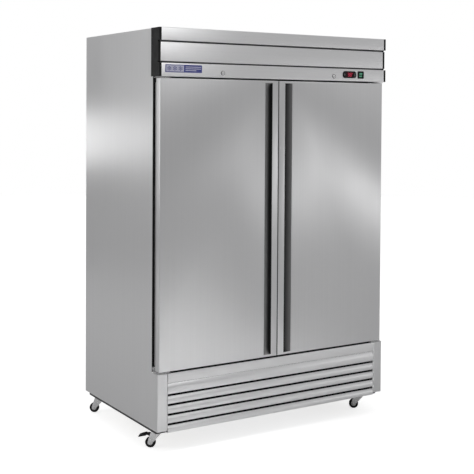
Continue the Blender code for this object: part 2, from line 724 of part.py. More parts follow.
def condenser():
    low, high = (Vector(c) for c in COIL_BOX)
    box("condenser_coil", low, high, "coil_aluminium")
    x, y, z = FAN_CENTRE
    face = high.y + GAP
    shroud = box("fan_shroud", (low.x, face, low.z), (high.x, face + 0.022, high.z), "galvanised")
    cut(shroud, box("shroud_hollow", (low.x + SHEET, face - 0.01, low.z + SHEET), (high.x - SHEET, face + 0.021, high.z - SHEET)))
    cut(shroud, rod("shroud_orifice", FAN_R + 0.006, (x, face + 0.02, z), 0.04, "Y", sides=36))
    arm_y = y + 0.028
    motor = rod("fan_motor", 0.034, (x, arm_y + 0.020, z), 0.050, "Y")
    join(shroud, motor)
    for i, sign in enumerate((-1, 1)):
        reach = FAN_R + 0.020
        xs = sorted((x + sign * 0.020, x + sign * reach))
        arm = box(f"motor_arm_{i}", (xs[0], arm_y, z - 0.009), (xs[1], arm_y + 0.004, z + 0.009))
        legs = sorted((x + sign * (reach - 0.004), x + sign * reach))
        leg = box(f"motor_leg_{i}", (legs[0], face + 0.0205, z - 0.009), (legs[1], arm_y + 0.004, z + 0.009))
        join(shroud, arm, leg)
    fan("condenser_fan", FAN_CENTRE, FAN_R, "Y", "black_plastic")


def fan(name, centre, radius, axis, finish, blades=4):
    """Axial fan: a hub and pitched blades, made lying flat, then turned to its axis."""
    hub = rod(name, radius * 0.26, (0, 0, 0), radius * 0.26, "Z", finish, sides=16)
    for i in range(blades):
        outline = [
            (radius * 0.20, -radius * 0.15), (radius * 0.62, -radius * 0.38), (radius * 0.93, -radius * 0.30),
            (radius, 0), (radius * 0.90, radius * 0.34), (radius * 0.55, radius * 0.26), (radius * 0.20, radius * 0.12),
        ]
        blade = as_mesh(slab(f"{name}_blade_{i}", [outline], "XY", (-0.0008, 0.0008)))
        turn = Matrix.Rotation(i * 2 * math.pi / blades, 4, "Z")
        blade.matrix_world = turn @ Matrix.Rotation(math.radians(16), 4, "X")
        join(hub, blade)
    hub.location = centre
    hub.rotation_euler = TURN[axis]
    return hub


def power_cord():
    """Mains lead leaving the tray's back corner, looped once against the bay's back and ending in a plug."""
    x, y, z = -0.47, BACK_Y - 0.030, 0.245
    loop_r, turns, steps = 0.075, 2.25, 44
    points = [(-0.367, y - 0.12, 0.124), (-0.376, y - 0.10, 0.122), (-0.388, y - 0.05, 0.125), (x + 0.060, y - 0.01, 0.145)]
    for i in range(steps + 1):
        a = -math.pi * 0.6 + 2 * math.pi * turns * i / steps
        points.append((x + loop_r * math.cos(a), y + 0.020 * i / steps, z + loop_r * math.sin(a)))
    curve = bpy.data.curves.new("power_cord", "CURVE")
    curve.dimensions = "3D"
    curve.bevel_depth = 0.0042
    curve.bevel_resolution = 1
    curve.use_fill_caps = True
    spline = curve.splines.new("POLY")
    spline.points.add(len(points) - 1)
    for point, co in zip(spline.points, points):
        point.co = (*co, 1)
    cord = as_mesh(add("power_cord", curve, "black_plastic"))
    end = points[-1]
    join(cord, box("plug_body", (end[0] - 0.017, end[1] - 0.015, end[2] - 0.012), (end[0] + 0.017, end[1] + 0.009, end[2] + 0.038)))


# ---------------------------------------------------------------- cold space


def evaporator():
    low, high = Vector((-0.42, -0.160, 1.772)), Vector((0.42, 0.320, CEILING_Z - GAP))
    cover = box("evaporator_cover", low, high, "liner_aluminium")
    cut(cover, box("cover_hollow", low + Vector((SHEET, SHEET, SHEET)), high + Vector((-SHEET, -SHEET, 0.02))))
    for name, side in SIDES.items():
        spot = Vector((side * EVAP_FAN_X, EVAP_FAN_Y, low.z))
        cut(cover, rod(f"fan_mouth_{name}", EVAP_FAN_R + 0.005, spot, 0.02, sides=36))
        fan(f"evaporator_fan_{name}", spot + Vector((0, 0, 0.024)), EVAP_FAN_R, "Z", "black_plastic")
    slots = [box(f"return_slot_{i}", (x, 0.20, low.z - 0.01), (x + 0.17, 0.29, low.z + 0.01)) for i, x in enumerate((-0.39, -0.19, 0.02, 0.22))]
    cut(cover, *slots)
    box("evaporator_coil", (-0.38, 0.080, 1.800), (0.38, 0.150, 1.940), "coil_aluminium")


def shelves():
    """Wire shelves, here as slotted grids: bars run front to back, tied by cross bars."""
    bars, bar, tie, rim = 10, 0.016, 0.016, 0.014
    for name, side in SIDES.items():
        (x0, x1), (y0, y1) = SHELF_X, SHELF_Y
        pitch = (x1 - x0 - 2 * rim + bar) / bars
        rows = ((y0 + rim, (y0 + y1 - tie) / 2), ((y0 + y1 + tie) / 2, y1 - rim))
        slots = []
        for i in range(bars):
            u0 = x0 + rim + i * pitch
            for row in rows:
                slots.append(rectangle(sorted((side * u0, side * (u0 + pitch - bar))), row))
        rim_outline = rectangle(sorted((side * x0, side * x1)), (y0, y1))
        for level, z in zip(("lower", "middle", "upper"), SHELF_LEVELS):
            slab(f"shelf_{level}_{name}", [rim_outline] + slots, "XY", (z, z + SHELF_THICK), "shelf_epoxy")


# ---------------------------------------------------------------- casters


def caster(name, x, y, braked):
    """Swivel caster modelled about its own swivel axis, wheel trailing towards +Y, then turned to its rest angle."""
    swivel = axis_empty(f"swivel_axis_{name}", (0, 0, 0))
    head = rod(f"caster_fork_{name}", 0.0275, (0, 0, FORK_TOP_Z - 0.003), 0.0060, "Z", "zinc", sides=24)
    cheek = [
        (-0.026, FORK_TOP_Z - 0.001), (0.024, FORK_TOP_Z - 0.001), (TRAIL + 0.008, WHEEL_R + 0.012),
        *arc((TRAIL, WHEEL_R), 0.0095, 25, -140, 6), (-0.026, FORK_TOP_Z - 0.009),
    ]
    for end, sign in (("a", -1), ("b", 1)):
        span = sorted((sign * 0.0125, sign * 0.0147))
        join(head, slab(f"cheek_{end}_{name}", [cheek], "YZ", span))
    join(head, rod(f"axle_{name}", 0.0038, (0, TRAIL, WHEEL_R), 0.0320, "X", sides=16))
    tread, rim, hub = WHEEL_R, WHEEL_R - 0.0075, 0.0105
    half = WHEEL_W / 2
    profile = [
        (tread - 0.002, half), (tread, half - 0.003), (tread, -half + 0.003), (tread - 0.002, -half),
        (rim, -half), (hub, -half + 0.003), (0.0043, -half + 0.0005),
        (0.0043, half - 0.0005), (hub, half - 0.003), (rim, half),
    ]
    wheel = turned(f"caster_wheel_{name}", profile, (0, TRAIL, WHEEL_R), "X", "tyre", steps=24)
    pieces = [head, wheel]
    if braked:
        pieces.append(brake_pedal(name))
    hang(swivel, *pieces)
    swivel.location = (x, y, 0)
    swivel.rotation_euler = (0, 0, CASTER_TURN)
    return swivel


BRAKE_PIVOT = Vector((0, -0.002, 0.0670))


def brake_pedal(name):
    """Foot pedal behind the fork: it pivots between the cheeks, and its shoe comes down on the tread."""
    y, z = BRAKE_PIVOT.y, BRAKE_PIVOT.z
    arm = [
        (y - 0.0045, z - 0.0035), (TRAIL - 0.011, z - 0.0045), (TRAIL - 0.006, z - 0.0105),
        (TRAIL + 0.006, z - 0.0105), (TRAIL + 0.011, z - 0.0060), (PEDAL_REACH - 0.028, z - 0.0065),
        (PEDAL_REACH - 0.028, z), (TRAIL + 0.009, z + 0.0040), (y - 0.0045, z + 0.0035),
    ]
    paddle = [
        (PEDAL_REACH - 0.038, z - 0.0060), (PEDAL_REACH - 0.016, z - 0.0110), (PEDAL_REACH - 0.001, z - 0.0150),
        (PEDAL_REACH, z - 0.0095), (PEDAL_REACH - 0.014, z - 0.0035), (PEDAL_REACH - 0.032, z + 0.0020),
        (PEDAL_REACH - 0.038, z + 0.0020),
    ]
    pedal = as_mesh(slab(f"caster_brake_{name}", [arm], "YZ", (-0.0100, 0.0100), "black_plastic"))
    return join(pedal, slab(f"paddle_{name}", [paddle], "YZ", (-PEDAL_HALF, PEDAL_HALF)))


def casters():
    for side_name, side in SIDES.items():
        for place, y in zip(("front", "rear"), CASTER_Y):
            caster(f"{place}_{side_name}", side * CASTER_X, y, place == "front")


def stand_over_origin():
    """Slides the finished object sideways until the middle of its overall box is over the origin."""
    for obj in PARTS.objects:
        if obj.parent is None:
            obj.location.x += CENTRE_X


# ---------------------------------------------------------------- build

clear_scene()
PARTS = new_collection("reach_in_refrigerator")
HELPERS = new_collection("cutters_and_joins")

cabinet_shell()
inner_liner()
front_frame()
base_frame()
corner_posts()
front_grille()
header()
controller()
power_switch()
door_locks()
for door_name, door_side in SIDES.items():
    door(door_name, door_side)
hinges()
unit_tray()
compressor()
condenser()
power_cord()
evaporator()
shelves()
casters()
stand_over_origin()
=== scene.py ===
"""Looks for the reach-in refrigerator: fine shapes, finishes, studio and camera round the CAD frame."""

import json
import math

import bmesh
import bpy
from mathutils import Matrix, Vector


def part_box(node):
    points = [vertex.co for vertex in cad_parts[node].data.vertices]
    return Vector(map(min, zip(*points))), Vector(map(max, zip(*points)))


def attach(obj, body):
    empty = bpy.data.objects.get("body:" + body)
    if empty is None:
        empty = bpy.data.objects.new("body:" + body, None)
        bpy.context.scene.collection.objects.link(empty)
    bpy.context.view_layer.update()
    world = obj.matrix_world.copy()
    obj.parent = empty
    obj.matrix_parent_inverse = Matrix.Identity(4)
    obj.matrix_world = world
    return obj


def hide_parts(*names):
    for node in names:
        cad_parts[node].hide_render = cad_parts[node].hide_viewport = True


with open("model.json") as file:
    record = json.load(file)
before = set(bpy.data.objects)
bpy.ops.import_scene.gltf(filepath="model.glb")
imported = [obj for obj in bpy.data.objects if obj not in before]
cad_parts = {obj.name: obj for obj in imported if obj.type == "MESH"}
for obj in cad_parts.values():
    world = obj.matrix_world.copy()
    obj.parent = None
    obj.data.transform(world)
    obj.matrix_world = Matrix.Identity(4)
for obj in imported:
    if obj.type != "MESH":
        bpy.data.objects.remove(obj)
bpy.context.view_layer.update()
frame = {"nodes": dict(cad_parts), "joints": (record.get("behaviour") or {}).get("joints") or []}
JOINTS = {joint["name"]: joint for joint in frame["joints"]}
# Everything below is measured from the cabinet's own middle, which stands this far from the origin
CENTRE = Vector((sum(corner.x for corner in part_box("front_grille")) / 2, 0, 0))
SIDES = {"left": -1, "right": 1}
X, Y, Z = Vector((1, 0, 0)), Vector((0, 1, 0)), Vector((0, 0, 1))

# Sizes that the CAD's boxes don't give
SHEET = 0.001  # thickness of the stainless sheet
HALF = SHEET / 2
STRIP, RECESS = 0.036, 0.0445  # a door's flat edge strip, and the mouth of the grip beside it
CAM_DEPTH = 0.027  # from the header's face back to the lock's cam
HEADER_GROOVES = (1.9581, 1.8597)  # foot of each groove
LOUVRE_TOPS = (0.338, 0.279, 0.232, 0.1855, 0.139)
LOUVRE_GAPS = (0.003, 0.0052, 0.0056, 0.0056, 0.0056)  # from each top down to where the blade begins
COMPRESSOR_AT = Vector((0.18, 0.1, 0.1345))  # middle of its foot
CASTERS = [f"{end}_{name}" for end in ("front", "rear") for name in SIDES]


def box(node):
    return [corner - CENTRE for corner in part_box(node)]


def reach(node):
    """How near to the cabinet's middle, and how far from it, a node of one side comes."""
    return sorted(abs(corner.x) for corner in box(node))


def joint_at(name):
    return Vector(JOINTS[name]["pos_m"]) - CENTRE


def steps(start, pitch, count):
    return [start + pitch * i for i in range(count)]


def grey(value):
    return (value, value, value * 1.005)


# ---------------------------------------------------------------- node materials

FINISH = {}


class Nodes:
    """A node tree, and short calls for the nodes used here."""

    def __init__(self, tree, coords):
        self.tree = tree
        self.coords = self.add("TexCoord").outputs[coords]

    def feed(self, socket, value):
        if hasattr(value, "is_output"):
            self.tree.links.new(value, socket)
        elif socket.type == "RGBA":
            socket.default_value = (*value, 1)
        else:
            socket.default_value = value

    def fill(self, node, inputs):
        """Sets or links inputs by name. An underscore stands for a space."""
        for name, value in inputs.items():
            self.feed(node.inputs[name.replace("_", " ")], value)
        return node

    def add(self, kind, **inputs):
        return self.fill(self.tree.nodes.new("ShaderNode" + kind), inputs)

    def along(self, axis):
        return self.add("SeparateXYZ", Vector=self.coords).outputs[axis]

    def noise(self, scale, detail=3, stretch=(1, 1, 1), roughness=0.5):
        at = self.add("Mapping", Vector=self.coords, Scale=stretch).outputs["Vector"]
        return self.add("TexNoise", Vector=at, Scale=scale, Detail=detail, Roughness=roughness).outputs["Fac"]

    def cells(self, scale):
        """Distance to the nearest of a scatter of points."""
        return self.add("TexVoronoi", Vector=self.coords, Scale=scale).outputs["Distance"]

    def spread(self, value, low, high, start=0, end=1):
        """Maps the stretch from start to end onto low to high."""
        node = self.add("MapRange", Value=value, From_Min=start, From_Max=end, To_Min=low, To_Max=high)
        return node.outputs["Result"]

    def ramp(self, value, stops):
        """Colours blended between (position, colour) stops."""
        node = self.add("ValToRGB", Fac=value)
        elements = node.color_ramp.elements
        while len(elements) < len(stops):
            elements.new(0.5)
        for element, (position, colour) in zip(elements, stops):
            element.position, element.color = position, (*colour, 1)
        return node.outputs["Color"]

    def math(self, operation, *values):
        node = self.add("Math")
        node.operation = operation
        for socket, value in zip(node.inputs, values):
            self.feed(socket, value)
        return node.outputs["Value"]

    def blend(self, factor, first, second):
        node = self.add("Mix")
        node.data_type = "RGBA"
        sockets = {socket.identifier: socket for socket in (*node.inputs, *node.outputs)}
        for key, value in (("Factor_Float", factor), ("A_Color", first), ("B_Color", second)):
            self.feed(sockets[key], value)
        return sockets["Result_Color"]

    def seen(self, by_camera, by_rest):
        """One colour for the camera, and another for everything that the object reflects."""
        return self.blend(self.add("LightPath").outputs["Is Camera Ray"], by_rest, by_camera)


class Shader(Nodes):
    """A material with one Principled shader, kept in FINISH under its name."""

    def __init__(self, name):
        self.material = bpy.data.materials.new(name)
        self.material.use_nodes = True
        super().__init__(self.material.node_tree, "Object")
        self.principled = self.tree.nodes["Principled BSDF"]
        FINISH[name] = self.material

    def set(self, **inputs):
        self.fill(self.principled, inputs)

    def patches(self, scale, detail, first, second, start=0.3, end=0.7, most=1):
        """Soft patches of the second colour in the first."""
        return self.blend(self.spread(self.noise(scale, detail), 0, most, start, end), first, second)

    def bump(self, height, strength, distance=0.0004):
        node = self.add("Bump", Height=height, Strength=strength, Distance=distance)
        self.set(Normal=node.outputs["Normal"])


def brushed(name, value, grain, roughness, mottle=0.06):
    """Brushed stainless sheet. The grain runs along one axis, and reflections smear across it."""
    s = Shader(name)
    along, across = 1.2, 900.0
    scale = tuple(along if axis == grain else across for axis in "XYZ")
    fine = s.noise(1, 4, scale, 0.65)
    coarse = s.noise(1, 2, tuple(v * (0.8 if v == along else 0.12) for v in scale))
    lines = s.math("ADD", s.math("MULTIPLY", fine, 0.6), s.math("MULTIPLY", coarse, 0.4))
    tone = s.spread(lines, 1 - mottle, 1 + mottle)
    tint = s.add("HueSaturation", Color=grey(value), Value=tone).outputs["Color"]
    gloss = s.spread(s.noise(2.3, 3), roughness - 0.035, roughness + 0.035)
    gloss = s.math("ADD", gloss, s.spread(s.noise(9, 4, (1, 1, 0.35)), -0.02, 0.02))
    gloss = s.math("ADD", gloss, s.spread(fine, -0.05, 0.05))
    tangent = s.add("Tangent")
    tangent.direction_type, tangent.axis = "RADIAL", "Z"
    turn = 0.0 if grain == "Z" else 0.25
    s.set(Base_Color=tint, Metallic=1, Roughness=gloss, Anisotropic=0.75, Anisotropic_Rotation=turn)
    s.set(Tangent=tangent.outputs["Tangent"])
    s.bump(fine, 0.1)


def grip_with_painted_shade(name, stops):
    """The hollow of a door grip: brushed like the door, dulled by hands, with painted shade that darkens it
    towards the edge strip.
    """
    s = Shader(name)
    edge = reach("door_skin_right")[0] + STRIP
    outward = s.math("ABSOLUTE", s.math("SUBTRACT", s.along("X"), CENTRE.x))
    grain = s.noise(1, 4, (900, 900, 1.2), 0.65)
    outward = s.math("ADD", s.spread(outward, 0, 1, edge, edge + RECESS), s.spread(grain, -0.04, 0.04))
    # Painted shade: the ramp darkens the hollow from its mouth towards the edge strip
    shade = s.ramp(outward, [(position, grey(value)) for position, value in stops])
    s.set(Base_Color=shade, Roughness=s.spread(s.noise(12, 4), 0.38, 0.55))
    s.set(Metallic=0.35, Specular_IOR_Level=0.2)
    s.bump(grain, 0.1)


def galvanised(name, value):
    s = Shader(name)
    shade = s.patches(45, 2, grey(value * 0.92), (value, value * 1.01, value * 1.03))
    s.set(Base_Color=shade, Metallic=1, Roughness=s.spread(s.cells(70), 0.34, 0.52))
    s.bump(s.noise(240, 2), 0.06)


def bright_zinc(name, value):
    s = Shader(name)
    shade = s.patches(60, 3, grey(value * 0.9), grey(value), 0.35, 0.65)
    s.set(Base_Color=shade, Metallic=0.6, Roughness=s.spread(s.noise(150, 3), 0.16, 0.34))
    s.bump(s.noise(500, 2), 0.05, 0.0003)


def moulded(name, colour, roughness, grain, strength, dust, shine=0.5):
    """Plastic, rubber or paint: a fine moulded grain, a little dust and a roughness that varies."""
    s = Shader(name)
    shade = s.patches(22, 4, colour, tuple(min(1, c + dust) for c in colour), 0.45, 0.8, 0.7)
    rough = s.spread(s.noise(35, 3), roughness - 0.06, roughness + 0.09)
    s.set(Base_Color=shade, Roughness=rough, Specular_IOR_Level=shine)
    s.bump(s.cells(grain), strength, 0.0003)


def satin_sheet(name, value, roughness):
    s = Shader(name)
    rolled = s.noise(1, 3, (260, 260, 3))
    shade = s.patches(3, 3, grey(value * 0.93), grey(value))
    s.set(Base_Color=shade, Metallic=0.9, Roughness=s.spread(rolled, roughness - 0.06, roughness + 0.08))
    s.bump(rolled, 0.05)


def coloured_metal(name, colour, roughness):
    s = Shader(name)
    shade = s.patches(55, 4, colour, tuple(c * 0.6 for c in colour), 0.35, 0.75)
    s.set(Base_Color=shade, Metallic=1, Roughness=s.spread(s.noise(90, 3), roughness, roughness + 0.2))
    s.bump(s.noise(300, 2), 0.05)


def glowing(name, colour, strength):
    s = Shader(name)
    shade = s.blend(s.noise(300, 2), colour, tuple(c * 0.8 for c in colour))
    s.set(Base_Color=shade, Roughness=0.3, Emission_Color=shade, Emission_Strength=strength)


def finishes():
    brushed("steel_upright", 0.9, "Z", 0.33)
    brushed("steel_level", 0.97, "X", 0.31)
    # Painted shade for each door's grip, each with its own ramp, since light falls differently into the left
    # and right hollows
    grip_with_painted_shade("grip_left", ((0, 0.05), (0.1, 0.1), (0.25, 0.27), (0.45, 0.42), (0.7, 0.42), (1, 0.34)))
    grip_with_painted_shade("grip_right", ((0.1, 0.02), (0.35, 0.035), (0.6, 0.12), (0.8, 0.2), (1, 0.3)))
    galvanised("galvanised", 0.72)
    satin_sheet("liner", 0.8, 0.38)
    satin_sheet("fins", 0.72, 0.32)
    bright_zinc("zinc", 0.97)
    coloured_metal("copper", (0.8, 0.38, 0.22), 0.25)
    moulded("black", (0.012, 0.012, 0.013), 0.5, 1400, 0.18, 0.02, 0.25)
    moulded("breaker", (0.008, 0.008, 0.009), 0.55, 1400, 0.18, 0.015, 0.25)
    moulded("gasket", (0.055, 0.056, 0.058), 0.62, 900, 0.1, 0.03)
    moulded("frame_paint", (0.028, 0.028, 0.03), 0.48, 500, 0.3, 0.05)
    moulded("enamel", (0.008, 0.008, 0.009), 0.22, 420, 0.12, 0.03)
    moulded("door_white", (0.8, 0.81, 0.81), 0.34, 700, 0.05, 0.03)
    moulded("epoxy", (0.82, 0.83, 0.83), 0.3, 800, 0.08, 0.03)
    moulded("tread", (0.01, 0.01, 0.011), 0.62, 1600, 0.35, 0.02, 0.3)
    moulded("wheel_core", (0.88, 0.88, 0.89), 0.4, 900, 0.06, 0.04)
    moulded("foam", (0.82, 0.72, 0.46), 0.85, 300, 0.6, 0.05)
    moulded("badge_blue", (0.095, 0.11, 0.4), 0.25, 500, 0.03, 0.02)
    moulded("badge_pale", (0.72, 0.72, 0.9), 0.35, 600, 0.03, 0.02)
    moulded("window", (0.05, 0.005, 0.009), 0.2, 400, 0.01, 0.01, 0.3)
    moulded("mark", (0.6, 0.6, 0.6), 0.5, 400, 0.02, 0.02)
    glowing("digit", (0.7, 0.035, 0.09), 0.4)
    glowing("green", (0.002, 0.045, 0.022), 0.12)
    # The switch's pale green: its own light, brightened as a painted highlight
    glowing("green_glow_highlight", (0.08, 0.34, 0.2), 0.35)


# ---------------------------------------------------------------- mesh code
# Each shape is added to a bmesh, which comes back, so that calls can be nested


def new():
    return bmesh.new()


def loft(bm, rings, close=True, loop=False):
    """Quads between rings of points, capped at both ends. loop joins the last ring to the first instead.
    Without close, each ring is a strip, and nothing is capped."""
    rows = [[bm.verts.new(point) for point in ring] for ring in rings]
    for a, b in list(zip(rows, rows[1:])) + ([(rows[-1], rows[0])] if loop else []):
        for i in range(len(a) if close else len(a) - 1):
            j = (i + 1) % len(a)
            bm.faces.new((a[i], a[j], b[j], b[i]))
    if close and not loop:
        bm.faces.new(rows[0][::-1])
        bm.faces.new(rows[-1])
    return bm


def block(bm, low, high):
    low, high = Vector(low), Vector(high)
    matrix = Matrix.Translation((low + high) / 2) @ Matrix.Diagonal((*(high - low), 1))
    bmesh.ops.create_cube(bm, size=1, matrix=matrix)
    return bm


def place(plane, u, v, w):
    return {"XY": Vector((u, v, w)), "XZ": Vector((u, w, v)), "YZ": Vector((w, u, v))}[plane]


def prism(bm, outline, plane, span):
    return loft(bm, [[place(plane, u, v, w) for u, v in outline] for w in span])


def basis(axis):
    axis = Vector(axis).normalized()
    side = axis.orthogonal().normalized()
    return side, axis.cross(side), axis


def circle(centre, axis, radius, count):
    side, up, _ = basis(axis)
    turn = steps(0, 2 * math.pi / count, count)
    return [centre + side * radius * math.cos(a) + up * radius * math.sin(a) for a in turn]


def lathe(bm, profile, centre, axis, count=32, loop=False):
    """Rings of (radius, height) along an axis, each profile end closed by a cap unless loop."""
    centre, axis = Vector(centre), Vector(axis).normalized()
    return loft(bm, [circle(centre + axis * h, axis, r, count) for r, h in profile], loop=loop)


def rod(bm, radius, low, high, centre, axis, count=32):
    return lathe(bm, [(radius, low), (radius, high)], centre, axis, count)


def arc(centre, radius, start, end, count):
    turn = steps(math.radians(start), math.radians(end - start) / (count - 1), count)
    return [(centre[0] + radius * math.cos(a), centre[1] + radius * math.sin(a)) for a in turn]


def rounded(us, vs, radius, count=6):
    (u0, u1), (v0, v1) = sorted(us), sorted(vs)
    corners = (
        (u1 - radius, v0 + radius, -90), (u1 - radius, v1 - radius, 0),
        (u0 + radius, v1 - radius, 90), (u0 + radius, v0 + radius, 180),
    )
    return [p for u, v, start in corners for p in arc((u, v), radius, start, start + 90, count)]


def plate(bm, us, vs, radius, span, count=6, plane="XZ"):
    return prism(bm, rounded(us, vs, radius, count), plane, span)


def ring(us, vs, inset, level, radius, count=6, plane="XZ"):
    """A rounded rectangle, set in from its spans on all sides."""
    (u0, u1), (v0, v1) = sorted(us), sorted(vs)
    outline = rounded((u0 + inset, u1 - inset), (v0 + inset, v1 - inset), radius, count)
    return [place(plane, u, v, level) for u, v in outline]


def stack(bm, us, vs, rings, count=6, loop=False):
    """Lofts through rounded rectangles, each with its inset, level and corner radius."""
    return loft(bm, [ring(us, vs, *values, count) for values in rings], loop=loop)


def fillet(path, radius, count=5, closed=False):
    """Rounds the bends of a path of points in 3-D."""
    points = [Vector(p) for p in path]
    made = []
    for i, point in enumerate(points):
        if not closed and i in (0, len(points) - 1):
            made.append(point)
            continue
        a, b = points[i - 1] - point, points[(i + 1) % len(points)] - point
        trim = min(radius, a.length * 0.45, b.length * 0.45)
        start, end = point + a.normalized() * trim, point + b.normalized() * trim
        for t in steps(0, 1 / (count - 1), count):
            made.append(start * (1 - t) ** 2 + point * 2 * t * (1 - t) + end * t ** 2)
    return made


def tube(bm, path, radius, sides=10, closed=False):
    """A round bar along a path, its section carried along without twisting."""
    points = [Vector(p) for p in path]
    rings, side = [], None
    for i, point in enumerate(points):
        ahead = points[(i + 1) % len(points)] if closed or i < len(points) - 1 else point
        behind = points[i - 1] if closed or i else point
        along = (ahead - behind).normalized()
        side = along.orthogonal() if side is None else side - along * side.dot(along)
        side.normalize()
        up = along.cross(side)
        turn = steps(0, 2 * math.pi / sides, sides)
        rings.append([point + side * radius * math.cos(a) + up * radius * math.sin(a) for a in turn])
    return loft(bm, rings, loop=closed)


def sheet(bm, path, plane, span, thick=SHEET, bend=0.002, count=5):
    """A bent sheet whose middle follows a path of (u, v) points."""
    line = fillet([(u, v, 0) for u, v in path], bend, count)
    left, right = [], []
    for i, point in enumerate(line):
        along = (line[min(i + 1, len(line) - 1)] - line[max(i - 1, 0)]).normalized()
        across = Vector((-along.y, along.x, 0)) * thick / 2
        left.append((point + across)[:2])
        right.append((point - across)[:2])
    return prism(bm, left + right[::-1], plane, span)


def chamfer(bm, width, segments=2, angle=30):
    edges = [e for e in bm.edges if len(e.link_faces) == 2 and e.calc_face_angle(0) > math.radians(angle)]
    bmesh.ops.bevel(
        bm, geom=edges, offset=width, segments=segments, profile=0.5, affect="EDGES", clamp_overlap=True,
    )
    return bm


def pan_screw(bm, at, axis, radius):
    """A domed screw head with a raised cross, its face along axis."""
    profile = [(0.9, -0.1), (1, 0), (1, 0.25), (0.8, 0.5), (0.45, 0.6)]
    lathe(bm, [(r * radius, h * radius) for r, h in profile], at, axis, 14)
    side, up, axis = basis(axis)
    top = Vector(at) + axis * radius * 0.61
    for a, b in ((side, up), (up, side)):
        arm = [(a * 0.36 + b * 0.07) * radius, (a * 0.36 - b * 0.07) * radius]
        arm += [-arm[0], -arm[1]]
        loft(bm, [[top + p for p in arm], [top + p - axis * radius * 0.05 for p in arm]])


def hex_head(bm, at, axis, across, height):
    radius = across / math.sqrt(3)
    lathe(bm, [(radius, 0), (radius, height * 0.8), (radius * 0.9, height)], at, axis, 6)


def shown(name, data):
    obj = bpy.data.objects.new(name, data)
    bpy.context.scene.collection.objects.link(obj)
    return obj


def mesh_object(name, bm):
    bmesh.ops.recalc_face_normals(bm, faces=bm.faces)
    mesh = bpy.data.meshes.new(name)
    bm.to_mesh(mesh)
    bm.free()
    return shown(name, mesh)


def paint(obj, finish):
    obj.data.materials.clear()
    obj.data.materials.append(FINISH[finish])


def piece(
    name, bm, finish, body="cabinet", stands_for=(), smooth=32, cuts=(), joins=(), at=Matrix(),
):
    """Makes a mesh into a piece that rides on a body. cuts and joins are meshes for Booleans, applied here,
    and at is the place of the piece's own axes."""
    obj = mesh_object(name, bm)
    tools = []
    for operation, others in (("UNION", joins), ("DIFFERENCE", cuts)):
        for i, other in enumerate(others):
            tools.append(mesh_object(f"{name}_{operation}_{i}", other))
            step = obj.modifiers.new(operation, "BOOLEAN")
            step.operation, step.object, step.solver = operation, tools[-1], "EXACT"
    if tools:
        bpy.context.view_layer.update()
        graph = bpy.context.evaluated_depsgraph_get()
        mesh = bpy.data.meshes.new_from_object(obj.evaluated_get(graph))
        obj.modifiers.clear()
        obj.data = mesh
        for tool in tools:
            bpy.data.objects.remove(tool)
    obj.data.transform(Matrix.Translation(CENTRE) @ at)
    paint(obj, finish)
    obj.data.shade_smooth()
    obj.data.set_sharp_from_angle(angle=math.radians(smooth))
    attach(obj, body)
    if stands_for:
        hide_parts(*([stands_for] if isinstance(stands_for, str) else stands_for))
    return obj


def repaint(node, finish, edge=0.0):
    """Gives a carried-over CAD node a finish, and softens its edges."""
    obj = frame["nodes"][node]
    paint(obj, finish)
    if edge:
        soft = obj.modifiers.new("soft_edges", "BEVEL")
        soft.width, soft.segments, soft.limit_method = edge, 2, "ANGLE"
        soft.angle_limit = math.radians(40)
        soft.harden_normals = True


def screws(name, spots, axis, radius, body="cabinet", finish="zinc"):
    bm = new()
    for spot in spots:
        pan_screw(bm, spot, axis, radius)
    piece(name, bm, finish, body)


# ---------------------------------------------------------------- cabinet


def cabinet_sides():
    """Each side is one stainless wrap, which folds round below the doors as the corner post."""
    shell_front = box("front_frame")[0].y
    for name, side in SIDES.items():
        low, high = box(f"side_panel_{name}")
        post_low, post_high = box(f"corner_post_{name}")
        far = reach(f"side_panel_{name}")[1]
        out, edge = side * (far - HALF), side * (reach(f"corner_post_{name}")[0] + HALF)
        turn = post_low.y + HALF
        path = [(out, high.y - HALF), (out, turn), (edge, turn), (edge, post_high.y)]
        fold = sheet(new(), path, "XY", (low.z, post_high.z + 0.0003), bend=0.005, count=8)
        foot = (side * (far - SHEET), shell_front, post_high.z - 0.0005)
        wrap = block(new(), foot, (side * far, high.y, high.z))
        piece(
            f"side_wrap_{name}", fold, "steel_upright", "cabinet",
            (f"side_panel_{name}", f"corner_post_{name}"), joins=(wrap,), smooth=25,
        )
        ends = new()
        for z0, z1 in ((low.z + 0.0005, low.z + 0.002), (post_high.z - 0.003, post_high.z - 0.0015)):
            block(ends, (post_low.x + 0.002, post_low.y + 0.002, z0), (post_high.x - 0.002, post_high.y, z1))
        piece(f"post_ends_{name}", ends, "steel_upright")


def cabinet_top():
    repaint("top_panel", "galvanised", 0.0003)
    low, high = box("top_panel")
    seam, top = high.x - 0.012, high.z + 0.0008
    rim = new()
    for side in SIDES.values():
        block(rim, (side * seam - 0.01, low.y + 0.004, high.z), (side * seam + 0.01, high.y - 0.004, top))
    block(rim, (low.x + 0.022, high.y - 0.024, high.z), (high.x - 0.022, high.y - 0.004, top))
    piece("top_seams", chamfer(rim, 0.0003, 1), "galvanised")
    spots = [(side * seam, y, top) for side in SIDES.values() for y in steps(low.y + 0.04, 0.098, 8)]
    spots += [(x, high.y - 0.014, top) for x in steps(low.x + 0.08, 0.152, 9)]
    screws("top_rivets", spots, Z, 0.0032)


def vent_hood(bm, x, y, z, width=0.25, count=12):
    """A pressed louvre that swells from the back panel's face and opens downwards."""
    rings = []
    for t in steps(0, 1 / count, count + 1):
        out = 0.0038 * max(math.sin(math.pi * t), 0) ** 0.35
        section = (
            (0.0002, 0.0165), (0.0002 + out * 0.55, 0.0145), (0.0002 + out, 0.0085),
            (out - 0.0004, 0.008), (-0.0004, 0.015),
        )
        rings.append([(x + width * t, y + v, z + w) for v, w in section])
    loft(bm, rings)


